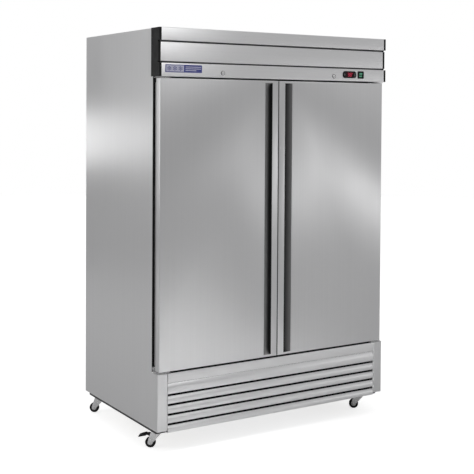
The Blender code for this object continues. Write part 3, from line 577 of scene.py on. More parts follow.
def cabinet_back():
    repaint("back_panel", "galvanised", 0.0003)
    low, high = box("back_panel")
    y = high.y
    rows = steps(low.z + 0.05, 0.152, 13)
    spots = [(side * (high.x - 0.01), y, z) for side in SIDES.values() for z in rows]
    spots += [(x, y, high.z - 0.012) for x in steps(low.x + 0.09, 0.149, 9)]
    screws("back_screws", spots, Y, 0.0034)
    hoods, ribs = new(), new()
    for x in steps(-0.33, 0.29, 3):
        for z in steps(0.15, 0.035, 6):
            vent_hood(hoods, x, y, z)
    piece("back_vent_hoods", hoods, "galvanised", smooth=50)
    for x in (-0.42, 0.0, 0.42):
        outline = [(x - 0.014, 0), (x - 0.008, 0.003), (x + 0.008, 0.003), (x + 0.014, 0)]
        heights = ((0.5, 0.02), (0.52, 1), (1.9, 1), (1.92, 0.02))
        loft(ribs, [[(u, y + v * swell, z) for u, v in outline] for z, swell in heights])
    piece("back_ribs", ribs, "galvanised")
    rating = plate(new(), (-0.3, -0.2), (0.4, 0.46), 0.004, (y, y + 0.0008))
    piece("rating_plate_blank", rating, "mark")


def front_and_mullion():
    repaint("insulation_foam", "foam")
    # The front frame takes the black breaker finish, partly as painted shade that keeps the gaps round the
    # doors dark
    repaint("front_frame", "breaker", 0.0003)
    repaint("center_mullion", "breaker", 0.0012)
    liner_low, liner_high = box("inner_liner")
    y = box("front_frame")[0].y
    rings = [(-0.004, y, 0.008), (-0.004, y - 0.0016, 0.008), (-0.018, y - 0.0016, 0.015), (-0.018, y, 0.015)]
    span = (liner_low.x + 0.001, liner_high.x - 0.001)
    trim = stack(new(), span, (0.44, 1.745), rings, loop=True)
    piece("breaker_strip", trim, "gasket", smooth=50)


# ---------------------------------------------------------------- header


def header_bends():
    """Side view of the header's front, from the top edge down over its two grooves to the bottom flange."""
    low, high = box("header_panel")
    face, top, bottom = low.y + HALF, high.z - HALF, low.z + HALF
    middle, deep = face + 0.009, face + 0.016
    points = [(high.y + 0.0004, top), (face, top)]
    for z, above, below in zip(HEADER_GROOVES, (face, middle), (middle, face)):
        points += [(above, z + 0.0076), (deep, z + 0.0068), (deep, z), (below, z - 0.0008)]
    return points + [(face, bottom), (high.y - 0.004, bottom)]


def case_spans(node, grow=0.0):
    """How far in x and in z the case of the controller or the switch reaches, behind its rim."""
    low, high = box(node)
    margins = {"controller_body": (0.009, 0.003, 0.0035), "switch_body": (0.0045, 0.003, 0.003)}
    side, foot, head = margins[node]
    return (low.x + side - grow, high.x - side + grow), (low.z + foot - grow, high.z - head + grow)


def cam_slot(name, side, z, length, half_wide):
    """A cutter for the slot that a lock's cam drops through."""
    x, y, _ = joint_at(f"lock_turn_{name}") + Y * CAM_DEPTH
    low = (x - side * 0.007, y - half_wide, z - 0.01)
    return block(new(), low, (x + side * length, y + half_wide, z + 0.01))


def header():
    low, high = box("header_panel")
    panel = sheet(new(), header_bends(), "YZ", (low.x, high.x), bend=0.0022)
    cuts = []
    for name, side in SIDES.items():
        cuts.append(rod(new(), 0.0078, -0.02, 0.02, joint_at(f"lock_turn_{name}"), Y))
        cuts.append(cam_slot(name, side, low.z, 0.038, 0.004))
    for node in ("controller_body", "switch_body"):
        us, vs = case_spans(node, 0.0005)
        cuts.append(block(new(), (us[0], low.y - 0.01, vs[0]), (us[1], low.y + 0.01, vs[1])))
    piece("header_skin", panel, "steel_level", "cabinet", "header_panel", cuts=cuts)
    # Dark strips at the foot of each groove, as painted shade that makes the grooves read deep
    groove_shade_strips = new()
    front, back = low.y + 0.0115, low.y + 0.0155
    for z in HEADER_GROOVES:
        lip = [(back, z + 0.0007), (front, z + 0.0015), (front + 0.0012, z + 0.0034)]
        lip += [(front, z + 0.0053), (back, z + 0.0061)]
        prism(groove_shade_strips, lip, "YZ", (low.x + 0.0005, high.x - 0.0005))
    piece("header_groove_seals", groove_shade_strips, "gasket")
    shell = box("front_frame")[0].y - 0.0008
    for name, side in SIDES.items():
        node = f"header_cap_{name}"
        cap_low, cap_high = box(node)
        near, far = reach(node)
        # The cap follows the panel's bends, a little proud of its sheet
        bends = [(u - (0.001 if u < low.y + 0.003 else 0.0006), v) for u, v in header_bends()[1:-1]]
        core, skin = ([(end, bends[0][1])] + bends + [(end, bends[-1][1])] for end in (shell, cap_high.y))
        inner = prism(new(), core, "YZ", (side * near, side * (far - 0.0006)))
        outer = chamfer(prism(new(), skin, "YZ", (side * (far - 0.0017), side * far)), 0.0005)
        piece(f"header_end_{name}", inner, "black", "cabinet", node, joins=(outer,))
        spots = [(side * far, cap_high.y - 0.006, z) for z in (cap_low.z + 0.02, cap_high.z - 0.02)]
        screws(f"header_end_screws_{name}", spots, X * side, 0.0022, finish="black")


def stroke(bm, start, end, half_wide, span):
    """A flat bar between two points of an upright plane."""
    along = (end - start).normalized()
    across = Vector((-along.z, 0, along.x)) * half_wide
    corners = [start + across, end + across, end - across, start - across]
    loft(bm, [[p + Y * w for p in corners] for w in span])


def crystal(bm, centre, span):
    """A snow crystal of six arms, each with a pair of forks."""
    for a in steps(math.pi / 2, math.pi / 3, 6):
        along, across = Vector((math.cos(a), 0, math.sin(a))), Vector((-math.sin(a), 0, math.cos(a)))
        stroke(bm, centre + along * 0.0012, centre + along * 0.0118, 0.0008, span)
        fork = centre + along * 0.0065
        for turn in (-0.9, 0.9):
            tip = fork + (along * math.cos(turn) + across * math.sin(turn)) * 0.0044
            stroke(bm, fork, tip, 0.0006, span)


def badge():
    """Generic enamelled plate: snow crystals on a pale panel, and three plain bars on the blue."""
    face = box("header_panel")[0].y
    x0, x1, z0, z1 = -0.657, -0.459, 1.815, 1.8515
    split, middle, rim = (x0 + x1) / 2, (z0 + z1) / 2, 0.0034
    base = plate(new(), (x0, x1), (z0, z1), 0.002, (face - 0.0016, face - 0.0001))
    piece("name_plate", chamfer(base, 0.0004, 1), "badge_blue")
    crystals, pale = new(), new()
    for x in steps(x0 + 0.0195, 0.0305, 3):
        crystal(crystals, Vector((x, 0, middle)), (face - 0.0023, face - 0.0018))
    piece("name_plate_crystals", crystals, "badge_blue")
    level = (face - 0.002, face - 0.0014)
    plate(pale, (x0 + rim, split), (z0 + rim, z1 - rim), 0.0012, level)
    left = split + 0.008
    for z, width in zip(steps(middle + 0.0085, -0.0085, 3), (0.086, 0.086, 0.06)):
        plate(pale, (left, left + width), (z - 0.0019, z + 0.0019), 0.0015, level, 3)
    piece("name_plate_marks", pale, "badge_pale")


# The bars of a lit digit, as ends in units of its width and height, and the bars that each sign lights
BARS = {
    "a": ((0, 1), (1, 1)), "b": ((1, 1), (1, 0.5)), "c": ((1, 0.5), (1, 0)), "d": ((0, 0), (1, 0)),
    "e": ((0, 0.5), (0, 0)), "f": ((0, 1), (0, 0.5)), "g": ((0, 0.5), (1, 0.5)),
}
SIGNS = {"3": "abcdg", "8": "abcdefg", "F": "aefg"}


def seven_segment(bm, text, x, z, height, y):
    width, pitch, bar, half_thick = height * 0.55, height * 0.85, height * 0.085, 0.0003
    for sign, left in zip(text, steps(x, pitch, len(text))):
        for name in SIGNS[sign]:
            a, b = (Vector((left + u * width, z + v * height)) for u, v in BARS[name])
            along = (b - a).normalized() * bar
            across = Vector((-along.y, along.x))
            a, b = a + along * 0.45, b - along * 0.45
            outline = [a, a + along + across, b - along + across, b, b - along - across, a + along - across]
            prism(bm, outline, "XZ", (y - half_thick, y + half_thick))


def controller():
    low, high = box("controller_body")
    face = box("header_panel")[0].y
    x, z = (low.x + high.x) / 2, (low.z + high.z) / 2
    rim = ((0, 0.0004), (0, 0.0018), (0.0005, 0.0027), (0.0016, 0.0033))
    rings = [(inset, face - out, 0.014 - inset) for inset, out in rim]
    bezel = stack(new(), (low.x, high.x), (low.z, high.z), rings, 10)
    us, vs = case_spans("controller_body")
    case = chamfer(block(new(), (us[0], face - 0.0006, vs[0]), (us[1], high.y, vs[1])), 0.001)
    cuts = []
    for key in ("set", "adjust"):
        a, b = box(f"controller_key_{key}")
        pocket = [(-0.0004, y, 0.003) for y in (face - 0.01, low.y + 0.0028)]
        cuts.append(stack(new(), (a.x, b.x), (a.z, b.z), pocket))
    well = (face - 0.01, low.y + 0.0012)
    cuts.append(plate(new(), (x - 0.023, x + 0.023), (z - 0.012, z + 0.012), 0.002, well))
    piece(
        "controller_bezel", bezel, "black", "cabinet", "controller_body",
        joins=(case,), cuts=cuts,
    )
    glass = (low.y + 0.001, low.y + 0.0014)
    lens = plate(new(), (x - 0.0228, x + 0.0228), (z - 0.0118, z + 0.0118), 0.0018, glass)
    piece("display_window", lens, "window")
    lit, y = new(), low.y + 0.0008
    seven_segment(lit, "38", x - 0.013, z - 0.0085, 0.017, y)
    seven_segment(lit, "F", x + 0.017, z + 0.001, 0.0075, y)
    rod(lit, 0.001, -0.0003, 0.0003, (x - 0.019, y, z + 0.007), Y, 12)
    piece("display_digits", lit, "digit")
    for key in ("set", "adjust"):
        controller_key(key)


def controller_key(key):
    """A soft key with a ring on it, or with two arrows."""
    node = f"controller_key_{key}"
    a, b = box(node)
    rings = [(0, b.y, 0.0028), (0, a.y + 0.0006, 0.0028), (0.0005, a.y, 0.0023)]
    cap = stack(new(), (a.x, b.x), (a.z, b.z), rings)
    piece(f"key_cap_{key}", cap, "gasket", node, node)
    icon = new()
    x, z = (a.x + b.x) / 2, (a.z + b.z) / 2
    if key == "set":
        section = ((0.0024, 0.0001), (0.0024, -0.0001), (0.0017, -0.0001), (0.0017, 0.0001))
        loft(icon, [[(u, a.y + w, v) for u, v in arc((x, z), r, 0, 345, 24)] for r, w in section], loop=True)
    else:
        for turn in (-1, 1):
            foot = z + turn * 0.0035
            arrow = [(x - 0.002, foot), (x + 0.002, foot), (x, foot + turn * 0.003)]
            prism(icon, arrow, "XZ", (a.y - 0.0001, a.y + 0.0001))
    piece(f"key_icon_{key}", icon, "mark", node)


def power_switch():
    low, high = box("switch_body")
    face = box("header_panel")[0].y
    rim = ((0, 0.0004), (0, 0.002), (0.0006, 0.0029), (0.0018, 0.0033))
    rings = [(inset, face - out, 0.005 - inset * 0.8) for inset, out in rim]
    bezel = stack(new(), (low.x, high.x), (low.z, high.z), rings)
    us, vs = case_spans("switch_body")
    case = block(new(), (us[0], face - 0.0006, vs[0]), (us[1], high.y, vs[1]))
    well = plate(new(), *case_spans("switch_body", -0.002), 0.0015, (face - 0.02, low.y + 0.02))
    piece(
        "switch_frame", bezel, "black", "cabinet", "switch_body",
        joins=(case,), cuts=(well,),
    )
    lean = Matrix.Translation(joint_at("switch_rock")) @ Matrix.Rotation(math.radians(9), 4, "X")
    half_high, front = 0.013, -0.006
    section = [(front, -half_high)]
    for t in steps(1 / 12, 1 / 12, 11):
        section.append((front + 0.0018 * math.sin(math.pi * t) ** 0.8, half_high * (2 * t - 1)))
    section += [(front, half_high)] + arc((0, 0), 0.009, 55, -55, 9)
    rocker = chamfer(prism(new(), section, "YZ", (-0.0128, 0.0128)), 0.0006, 2, 40)
    piece("rocker_lens", rocker, "green", "switch_rocker", "switch_rocker", at=lean)
    # Two paler lit bars in the lens: partly the switch's own light, partly a painted highlight
    glow_and_highlight = new()
    for z, half in ((0.0068, 0.0045), (-0.0068, 0.0032)):
        plate(glow_and_highlight, (-0.0095, 0.0095), (z - half, z + half), 0.001, (front - 0.00005, -0.004), 4)
    piece("rocker_glow", glow_and_highlight, "green_glow_highlight", "switch_rocker", at=lean)


def locks():
    """A face turned from bar, the barrel behind it, and the cam that drops into the door."""
    face = [
        (0.0093, -0.0004), (0.0095, -0.001), (0.0095, -0.002), (0.0088, -0.0028), (0.0078, -0.003),
        (0.007, -0.0022), (0.0066, -0.0022), (0.0062, -0.003), (0.005, -0.0034), (0.0004, -0.0035),
    ]
    rim = [(0.0099, -0.0002), (0.0114, -0.0002), (0.0112, -0.0013), (0.01, -0.0015)]
    for name, side in SIDES.items():
        node = f"lock_{name}"
        x, y, z = at = joint_at(f"lock_turn_{name}")
        piece(f"lock_bezel_{name}", lathe(new(), rim, at, Y, loop=True), "black")
        barrel = rod(new(), 0.0072, -0.0018, 0.0262, at, Y, 28)
        depth = (y + CAM_DEPTH - 0.0015, y + CAM_DEPTH + 0.0015)
        ends = (x - side * 0.005, x + side * 0.036)
        cam = plate(new(), ends, (z - 0.0045, z + 0.0045), 0.004, depth)
        keyhole = (x - 0.0008, x + 0.0008), (z - 0.0034, z + 0.0034)
        key = plate(new(), *keyhole, 0.0006, (y - 0.006, y - 0.0015), 4)
        piece(
            f"lock_cylinder_{name}", lathe(new(), face, at, Y), "zinc", node, node,
            joins=(barrel, cam), cuts=(key,),
        )


# ---------------------------------------------------------------- doors


def recess_section(count=18):
    """Plan of the grip: a sweep down from the face, then the hollow tucked behind the edge strip."""
    mouth, floor, bend = STRIP + RECESS - 0.0015, 0.026, 0.0105
    points = []
    for t in steps(0, 1 / count, count + 1):
        depth = 0.0006 + (floor - 0.0006) * math.sin(math.pi / 2 * t) ** 1.2
        points.append((mouth - (mouth - STRIP - 0.0035) * t, depth))
    points += arc((STRIP - 0.006, floor - bend), bend, 90, 270, 14)[1:]
    return points + [(STRIP + 0.0012, 0.0044), (STRIP + 0.0006, 0.002)]


def door_skin(name, side):
    low, high = box(f"door_skin_{name}")
    grip_low, grip_high = box(f"door_handle_{name}")
    inner, outer = reach(f"door_skin_{name}")
    front, back = low.y, high.y
    rings = [
        (0, back, 0.003), (0, front + 0.0026, 0.003), (0.0004, front + 0.0012, 0.0026),
        (0.0012, front + 0.0004, 0.0018), (0.0026, front, 0.0004),
    ]
    skin = stack(new(), (low.x, high.x), (low.z, high.z), rings, 4)
    hollow_high = (high.x - SHEET, back + 0.02, high.z - SHEET)
    hollow = block(new(), (low.x + SHEET, front + SHEET, low.z + SHEET), hollow_high)
    us = (side * (inner + STRIP), side * (inner + STRIP + RECESS))
    vs = (grip_low.z - 0.0003, grip_high.z + 0.0003)
    window = plate(new(), us, vs, 0.0022, (front - 0.01, front + 0.01), 5)
    pivot = joint_at(f"door_swing_{name}")
    pins = [rod(new(), 0.0057, -0.01, 0.01, (pivot.x, pivot.y, z), Z, 24) for z in (low.z, high.z)]
    piece(
        f"door_panel_{name}", skin, "steel_upright", f"door_{name}", f"door_skin_{name}",
        cuts=(hollow, window, cam_slot(name, side, high.z, 0.032, 0.0035), *pins),
    )
    x, y = side * (outer - HALF), back + 0.0073
    path = [(x, back - 0.002), (x, y), (x - side * 0.0045, y)]
    fold = sheet(new(), path, "XY", (low.z + 0.027, high.z - 0.021), bend=0.0012, count=4)
    piece(f"door_return_{name}", fold, "steel_upright", f"door_{name}")


def door_grip(name, side):
    """The hollow behind the door's window, swept up to the face at both ends, and the strip's edge seal."""
    low, high = box(f"door_skin_{name}")
    grip_low, grip_high = box(f"door_handle_{name}")
    inner = reach(f"door_skin_{name}")[0]
    front, scoop = low.y, 0.034
    z0, z1 = grip_low.z + 0.0004, grip_high.z - 0.0004
    turns = steps(0, math.pi / 2 / 7, 8)
    levels = [(z0 + scoop * (1 - math.cos(a)), math.sin(a)) for a in turns]
    levels += [(z0 + z1 - z, depth) for z, depth in levels[::-1]]
    rows = []
    for z, depth in levels:
        deep = max(depth, 0.02)
        section = [(side * (inner + u), 0.0006 + (v - 0.0006) * deep) for u, v in recess_section()]
        rows.append([(x, front + y, z) for x, y in section])
    grip = piece(
        f"grip_{name}", loft(new(), rows, close=False), f"grip_{name}", f"door_{name}", f"door_handle_{name}",
        smooth=60,
    )
    thick = grip.modifiers.new("sheet", "SOLIDIFY")
    thick.thickness, thick.offset = 0.0008, 0.0
    section = ((0.0004, 0.0022), (-0.0014, 0.0034), (-0.0014, 0.0135), (0.0004, 0.015))
    outline = [(side * (inner + u), front + v) for u, v in section]
    lip = prism(new(), outline, "XY", (low.z + 0.004, high.z - 0.004))
    piece(f"edge_seal_{name}", lip, "breaker", f"door_{name}")


def door_liner(name, side):
    """The white inner face: a flat flange for the gasket round a plug with a shallow dish."""
    low, high = box(f"door_core_{name}")
    base, crown = box(f"door_gasket_{name}")[0].y - 0.0003, high.y
    us, vs = (side * 0.042, side * 0.618), (0.452, 1.733)
    rings = [ring((low.x, high.x), (low.z, high.z), 0, y, 0.002) for y in (base - 0.0125, base)]
    for inset, y, radius in (
        (0, base + 0.0001, 0.016), (0.0015, base + 0.01, 0.016), (0.004, crown - 0.004, 0.016),
        (0.009, crown - 0.0008, 0.014), (0.016, crown, 0.012), (0.045, crown, 0.012),
        (0.052, crown - 0.0015, 0.012), (0.062, crown - 0.007, 0.01), (0.07, crown - 0.0085, 0.01),
    ):
        rings.append(ring(us, vs, inset, y, radius))
    piece(
        f"door_liner_{name}", loft(new(), rings), "door_white", f"door_{name}", f"door_core_{name}",
        smooth=40,
    )
    sides = (min(us) + 0.03, max(us) - 0.03)
    spots = [(x, crown, z) for z in (0.5, 0.8, 1.1, 1.4, 1.69) for x in sides]
    screws(f"door_liner_screws_{name}", spots, Y, 0.0038, f"door_{name}")


def door_gasket(name):
    """A magnetic gasket with two bellows folds, mitred round the door."""
    low, high = box(f"door_gasket_{name}")
    outside = [(0.001, 1), (0, 0.86), (0.0004, 0.68), (0.0036, 0.56)]
    outside += [(0.0022, 0.42), (0.0036, 0.28), (0.0022, 0.1)]
    inside = [(0.003, 0), (0.017, 0), (0.018, 0.1), (0.0165, 0.28), (0.0178, 0.42), (0.0162, 0.56)]
    inside += [(0.0196, 0.68), (0.02, 0.86), (0.019, 1)]
    rings = [(u, low.y + (high.y - low.y) * v, 0.0052 - u * 0.2) for u, v in inside + outside]
    seal = stack(new(), (low.x, high.x), (low.z, high.z), rings, 4, loop=True)
    piece(
        f"gasket_{name}", seal, "gasket", f"door_{name}", f"door_gasket_{name}", smooth=40,
    )


def hinges():
    for name, side in SIDES.items():
        pivot = joint_at(f"door_swing_{name}")
        for end, drop, places in (("top", 0.014, (0.634, 0.664)), ("bottom", 0.01, (0.6735,))):
            node = f"hinge_{end}_{name}"
            high = box(node)[1]
            repaint(node, "zinc", 0.0003)
            bolts = new()
            for x in places:
                hex_head(bolts, (side * x, high.y - 0.003, high.z - drop), -Y, 0.008, 0.0035)
            piece(f"hinge_bolts_{end}_{name}", bolts, "zinc")
        low, high = box(f"door_skin_{name}")
        for end, z, inward in (("top", high.z, -1), ("bottom", low.z, 1)):
            rim = [(0.0056, -0.0004), (0.0078, -0.0004), (0.0078, 0.0), (0.0056, 0.0)]
            bush = lathe(new(), [(r, h * inward) for r, h in rim], (pivot.x, pivot.y, z), Z, 24, loop=True)
            piece(f"hinge_bush_{end}_{name}", bush, "black", f"door_{name}")


# ---------------------------------------------------------------- grille, base and casters


def louvre(top, bottom, face):
    """Side view of one blade: set back at its top, swelling to the face, tucked in at its rolled lip."""
    points = []
    for t in steps(0, 1 / 9, 10):
        swell = math.sin(math.pi * (0.08 + 0.6 * t))
        points.append((face + 0.013 * (1 - swell) ** 1.4, top - (top - bottom) * t))
    u, v = points[-1]
    return points + [(u + 0.0035, v - 0.0012), (u + 0.0065, v + 0.0004)]


def grille():
    low, high = box("front_grille")
    face, span, top = low.y + 0.0006, (low.x, high.x), LOUVRE_TOPS[0]
    band = [
        (high.y - 0.003, high.z - 0.0006), (face, high.z - 0.0006), (face, top + 0.003),
        (face + 0.0035, top - 0.0005), (face + 0.012, top - 0.0015),
    ]
    bm = sheet(new(), band, "YZ", span, bend=0.0018)
    for start, end, gap in zip(LOUVRE_TOPS, (*LOUVRE_TOPS[1:], low.z), LOUVRE_GAPS):
        stop = end + (0.0078 if end > low.z else 0.002)
        sheet(bm, louvre(start - gap, stop, face), "YZ", span, bend=0.0012, count=3)
    for x in (low.x + 0.0006, high.x - 0.0006):
        block(bm, (x - 0.0006, face + 0.002, low.z + 0.001), (x + 0.0006, high.y, high.z - 0.0012))
    piece("grille_louvres", bm, "steel_level", "cabinet", "front_grille", smooth=40)

    # A dark strip fills the gap between the grille and the doors, as painted shade in that gap
    foot, head, tip = high.z + 0.0003, box("door_skin_left")[0].z - 0.0012, low.y + 0.0016
    lip = [(tip + 0.0012, foot), (tip, foot + 0.0012), (tip, head - 0.0012), (tip + 0.0012, head)]
    sill_shade = prism(new(), lip + [(high.y, head), (high.y, foot)], "YZ", (-0.607, 0.607))
    piece("sill_shade_strip", sill_shade, "breaker")
    stays = new()
    for x in (-0.21, 0.21):
        block(stays, (x - 0.006, face + 0.014, low.z + 0.003), (x + 0.006, face + 0.0155, high.z - 0.002))
    piece("grille_stays", stays, "breaker")
    # A pleated black screen behind the louvres: an air screen, and also painted shade that keeps the gaps
    # between the blades dark
    folds = 126
    xs = steps(low.x + 0.003, (high.x - low.x - 0.006) / folds, folds + 1)
    pleats = [(x, face + (0.0175 if i % 2 else 0.0235)) for i, x in enumerate(xs)]
    screen_and_shade = sheet(new(), pleats, "XY", (low.z + 0.0025, high.z - 0.003), 0.0008, 0.001, 2)
    piece("air_screen_and_shade", screen_and_shade, "breaker")
    coil_low, coil_high = box("condenser_coil")
    heights = (coil_low.z + 0.001, box("insulation_foam")[0].z - 0.002)
    front, back = coil_low.y, coil_low.y + 0.012
    baffles = new()
    for x0, x1 in ((low.x + 0.02, coil_low.x - 0.002), (coil_high.x + 0.002, high.x - 0.02)):
        sheet(baffles, [(x0, back), (x0, front), (x1, front), (x1, back)], "XY", heights, bend=0.003)
    piece("bay_baffles", baffles, "breaker")


def base_frame():
    low, high = box("base_frame")
    foot, head, width = high.z - 0.0175, high.z, 0.045
    outer = (low.x, high.x), (low.y, high.y - 0.00125)
    inner = (low.x + width, high.x - width), (low.y + 0.04, high.y - 0.047)
    rings = []
    for spans, inset, z, radius in (
        (outer, 0, foot + 0.0012, 0.006), (outer, 0.0012, foot, 0.006), (inner, 0, foot, 0.004),
        (inner, 0, head, 0.004), (outer, 0.0012, head, 0.006), (outer, 0, head - 0.0012, 0.006),
    ):
        rings.append(ring(*spans, inset, z, radius, 5, "XY"))
    race = [(0.0145, -0.0038), (0.0172, -0.003), (0.0176, 0), (0.015, 0.0022), (0.01, 0.003)]
    joins, bolts = [], new()
    for key in CASTERS:
        x, y, _ = joint_at(f"caster_swivel_{key}")
        pad = plate(new(), (x - 0.03, x + 0.03), (y - 0.038, y + 0.038), 0.006, (0.0905, 0.0945), plane="XY")
        joins += [chamfer(pad, 0.0006, 1), lathe(new(), race, (x, y, 0.0903), Z)]
        for dx in (-0.022, 0.022):
            for dy in (-0.029, 0.029):
                hex_head(bolts, (x + dx, y + dy, 0.0904), -Z, 0.0085, 0.0036)
    rails = loft(new(), rings, loop=True)
    piece("base_rails", rails, "frame_paint", "cabinet", "base_frame", joins=joins)
    piece("caster_bolts", bolts, "zinc")


def caster(key):
    """A pressed fork and its wheel, and in front a brake pedal. Each is built with the axle along x, over a
    point on the floor under the swivel."""
    origin = joint_at(f"caster_swivel_{key}")
    origin.z = 0
    axle = Vector(JOINTS[f"wheel_roll_{key}"]["axis"])
    at = Matrix.Translation(origin) @ Matrix.Rotation(math.atan2(axle.y, axle.x), 4, "Z")
    _, trail, radius = at.inverted() @ joint_at(f"wheel_roll_{key}")
    hub, top = (0, trail, radius), box(f"caster_fork_{key}")[1].z

    profile = [
        (0.006, 0), (0.0262, 0), (0.0275, -0.001), (0.0275, -0.0045), (0.0262, -0.006), (0.0225, -0.0066),
        (0.019, -0.004), (0.006, -0.004),
    ]
    crown = lathe(new(), profile, (0, 0, top), Z, 40)
    outline = [(-0.0255, top - 0.0012), (0.024, top - 0.0012), (trail + 0.0085, radius + 0.014)]
    outline += arc((trail, radius), 0.0098, 25, -140, 12) + [(-0.018, top - 0.02), (-0.0255, top - 0.0095)]
    joins = [rod(new(), 0.0038, -0.016, 0.016, hub, X, 20)]
    nuts = new()
    for sign in (-1, 1):
        cheek = prism(new(), outline, "YZ", (sign * 0.0125, sign * 0.0147))
        joins.append(chamfer(cheek, 0.0006, 2, 40))
        hex_head(nuts, (sign * 0.0147, trail, radius), X * sign, 0.008, 0.0036)
    body = f"caster_{key}"
    piece(f"fork_{key}", crown, "zinc", body, f"caster_fork_{key}", joins=joins, at=at)
    cap = [(0.007, 0), (0.007, -0.0012), (0.0048, -0.0026), (0.0005, -0.003)]
    lathe(nuts, cap, (0, 0, top - 0.004), Z, 20)
    piece(f"fork_nuts_{key}", nuts, "zinc", body, at=at)

    half, rim, wheel = 0.0105, radius - 0.0125, f"wheel_{key}"
    shoulder = [
        (rim, half - 0.0006), (radius - 0.003, half),
        (radius - 0.001, half - 0.0012), (radius, half - 0.0035),
    ]
    tread = lathe(new(), [(r, -h) for r, h in shoulder] + shoulder[::-1], hub, X, 48, loop=True)
    piece(f"wheel_tread_{key}", tread, "tread", wheel, f"caster_wheel_{key}", smooth=40, at=at)
    face = [
        (0.0043, 0.01), (0.0088, 0.01), (0.0098, 0.007), (rim - 0.0042, 0.0062), (rim - 0.0028, 0.0096),
        (rim - 0.0002, 0.0096),
    ]
    core = lathe(new(), [(r, -h) for r, h in face] + face[::-1], hub, X, 48, loop=True)
    piece(f"wheel_core_{key}", core, "wheel_core", wheel, smooth=35, at=at)
    if key.startswith("front"):
        brake_pedal(key, at, trail)


def brake_pedal(key, at, trail):
    """An arm with a shoe over the wheel, and a broad paddle that slopes down, with ribs across it."""
    _, y, z = at.inverted() @ joint_at(f"brake_press_{key}")
    tip, half_wide = 0.088, 0.0188
    arm = [
        (y - 0.0045, z - 0.003), (trail - 0.011, z - 0.0042), (trail - 0.006, z - 0.0102),
        (trail + 0.006, z - 0.0102), (trail + 0.011, z - 0.0056), (y + 0.06, z - 0.0062), (y + 0.06, z),
        (trail + 0.009, z + 0.0036), (y - 0.0045, z + 0.0032),
    ]
    paddle = [
        (tip - 0.038, z - 0.006), (tip - 0.016, z - 0.011), (tip - 0.0012, z - 0.0148),
        (tip - 0.0003, z - 0.0098), (tip - 0.014, z - 0.0038), (tip - 0.032, z + 0.0016),
        (tip - 0.038, z + 0.0016),
    ]
    lever = chamfer(prism(new(), arm, "YZ", (-0.0098, 0.0098)), 0.001, 2, 35)
    tread = chamfer(prism(new(), paddle, "YZ", (-half_wide, half_wide)), 0.0014, 2, 35)
    piece(
        f"pedal_{key}", lever, "black", f"brake_{key}", f"caster_brake_{key}",
        joins=(tread,), at=at,
    )
    ribs = new()
    for t in steps(0, 0.25, 5):
        middle = Vector((0, tip - 0.031 + 0.0255 * t, z + 0.0016 - 0.01 * t))
        block(ribs, middle - Vector((0.0155, 0.0008, 0.002)), middle + Vector((0.0155, 0.0008, 0.0004)))
    piece(f"pedal_ribs_{key}", ribs, "black", f"brake_{key}", at=at)


# ---------------------------------------------------------------- cold space


def pilaster(bm, at, along, out, foot=0.48, head=1.71, pitch=0.03):
    """A slotted shelf standard, just off its bar: two long strips, and the lands between the slots."""
    parts = [(-0.0095, -0.0055, foot, head), (0.0055, 0.0095, foot, head)]
    for z in steps(foot, pitch, int((head - foot) / pitch) + 1):
        parts.append((-0.0056, 0.0056, z, min(z + pitch - 0.007, head)))
    for u0, u1, z0, z1 in parts:
        corners = [Vector(at) + along * u + Z * z for u, z in ((u0, z0), (u1, z0), (u1, z1), (u0, z1))]
        loft(bm, [[corner + out * lift for corner in corners] for lift in (0.0001, 0.001)])


def cold_space():
    repaint("inner_liner", "liner")
    standards, coves = new(), new()
    for side in SIDES.values():
        for y in (-0.262, 0.3):
            pilaster(standards, (side * 0.62, y, 0), Y, X * -side)
        sheet(coves, [(side * 0.6295, 0.445), (side * 0.618, 0.4405)], "XZ", (-0.3, 0.36))
    pilaster(standards, (0, box("inner_liner")[1].y - 0.0115, 0), X, -Y)
    pilaster(standards, (0, box("center_mullion")[0].y + 0.0551, 0), X, Y)
    piece("shelf_standards", standards, "zinc")
    piece("liner_coves", coves, "liner")


def shelf(node):
    """A frame of round bar with three cross bars, and wires that turn down over its front and back."""
    low, high = box(node)
    bar, wire, count = 0.003, 0.0015, 30
    z = low.z + bar
    x0, x1, y0, y1 = low.x + bar, high.x - bar, low.y + bar, high.y - bar
    frame_path = fillet([(x0, y0, z), (x1, y0, z), (x1, y1, z), (x0, y1, z)], 0.012, closed=True)
    bm = tube(new(), frame_path, bar, 8, closed=True)
    for y in (low.y + 0.1, (low.y + high.y) / 2, high.y - 0.1):
        tube(bm, [(x0, y, z), (x1, y, z)], bar * 0.85, 8)
    path = [(low.y + 0.0012, z - 0.001), (low.y + 0.0016, z + bar + wire * 0.2)]
    path += [(low.y + high.y - v, w) for v, w in path[::-1]]
    for x in steps(low.x + 0.016, (high.x - low.x - 0.032) / (count - 1), count):
        tube(bm, fillet([(x, v, w) for v, w in path], 0.003, 3), wire, 6)
    piece(f"wire_{node}", bm, "epoxy", node, node, smooth=60)


def fin_stack(name, node, count, margin, half_thick, low_off, high_off):
    """Thin plates across a coil. low_off and high_off are the plates' distances from its box, in y and z."""
    low, high = box(node)
    bm = new()
    for x in steps(low.x + margin, (high.x - low.x - 2 * margin) / (count - 1), count):
        foot = (x - half_thick, low.y + low_off[0], low.z + low_off[1])
        block(bm, foot, (x + half_thick, high.y + high_off[0], high.z + high_off[1]))
    piece(name, bm, "fins")


def fan_guard(name, x, y, face):
    """Six rings and four spokes of wire, domed below the fan's opening."""
    bm = new()
    for radius in steps(0.015, 0.0138, 6):
        z = face - 0.003 - 0.006 * (1 - (radius / 0.085) ** 2)
        tube(bm, [(u, v, z) for u, v in arc((x, y), radius, 0, 351, 40)], 0.0012, 6, closed=True)
    spoke = [(r, face - 0.0016 - 0.006 * (1 - (r / 0.0855) ** 2)) for r in (0.004, 0.03, 0.06, 0.0855)]
    spoke.append((0.09, face - 0.0012))
    for a in steps(math.pi / 4, math.pi / 2, 4):
        tube(bm, [(x + r * math.cos(a), y + r * math.sin(a), z) for r, z in spoke], 0.0015, 6)
    piece(f"fan_guard_{name}", bm, "zinc")


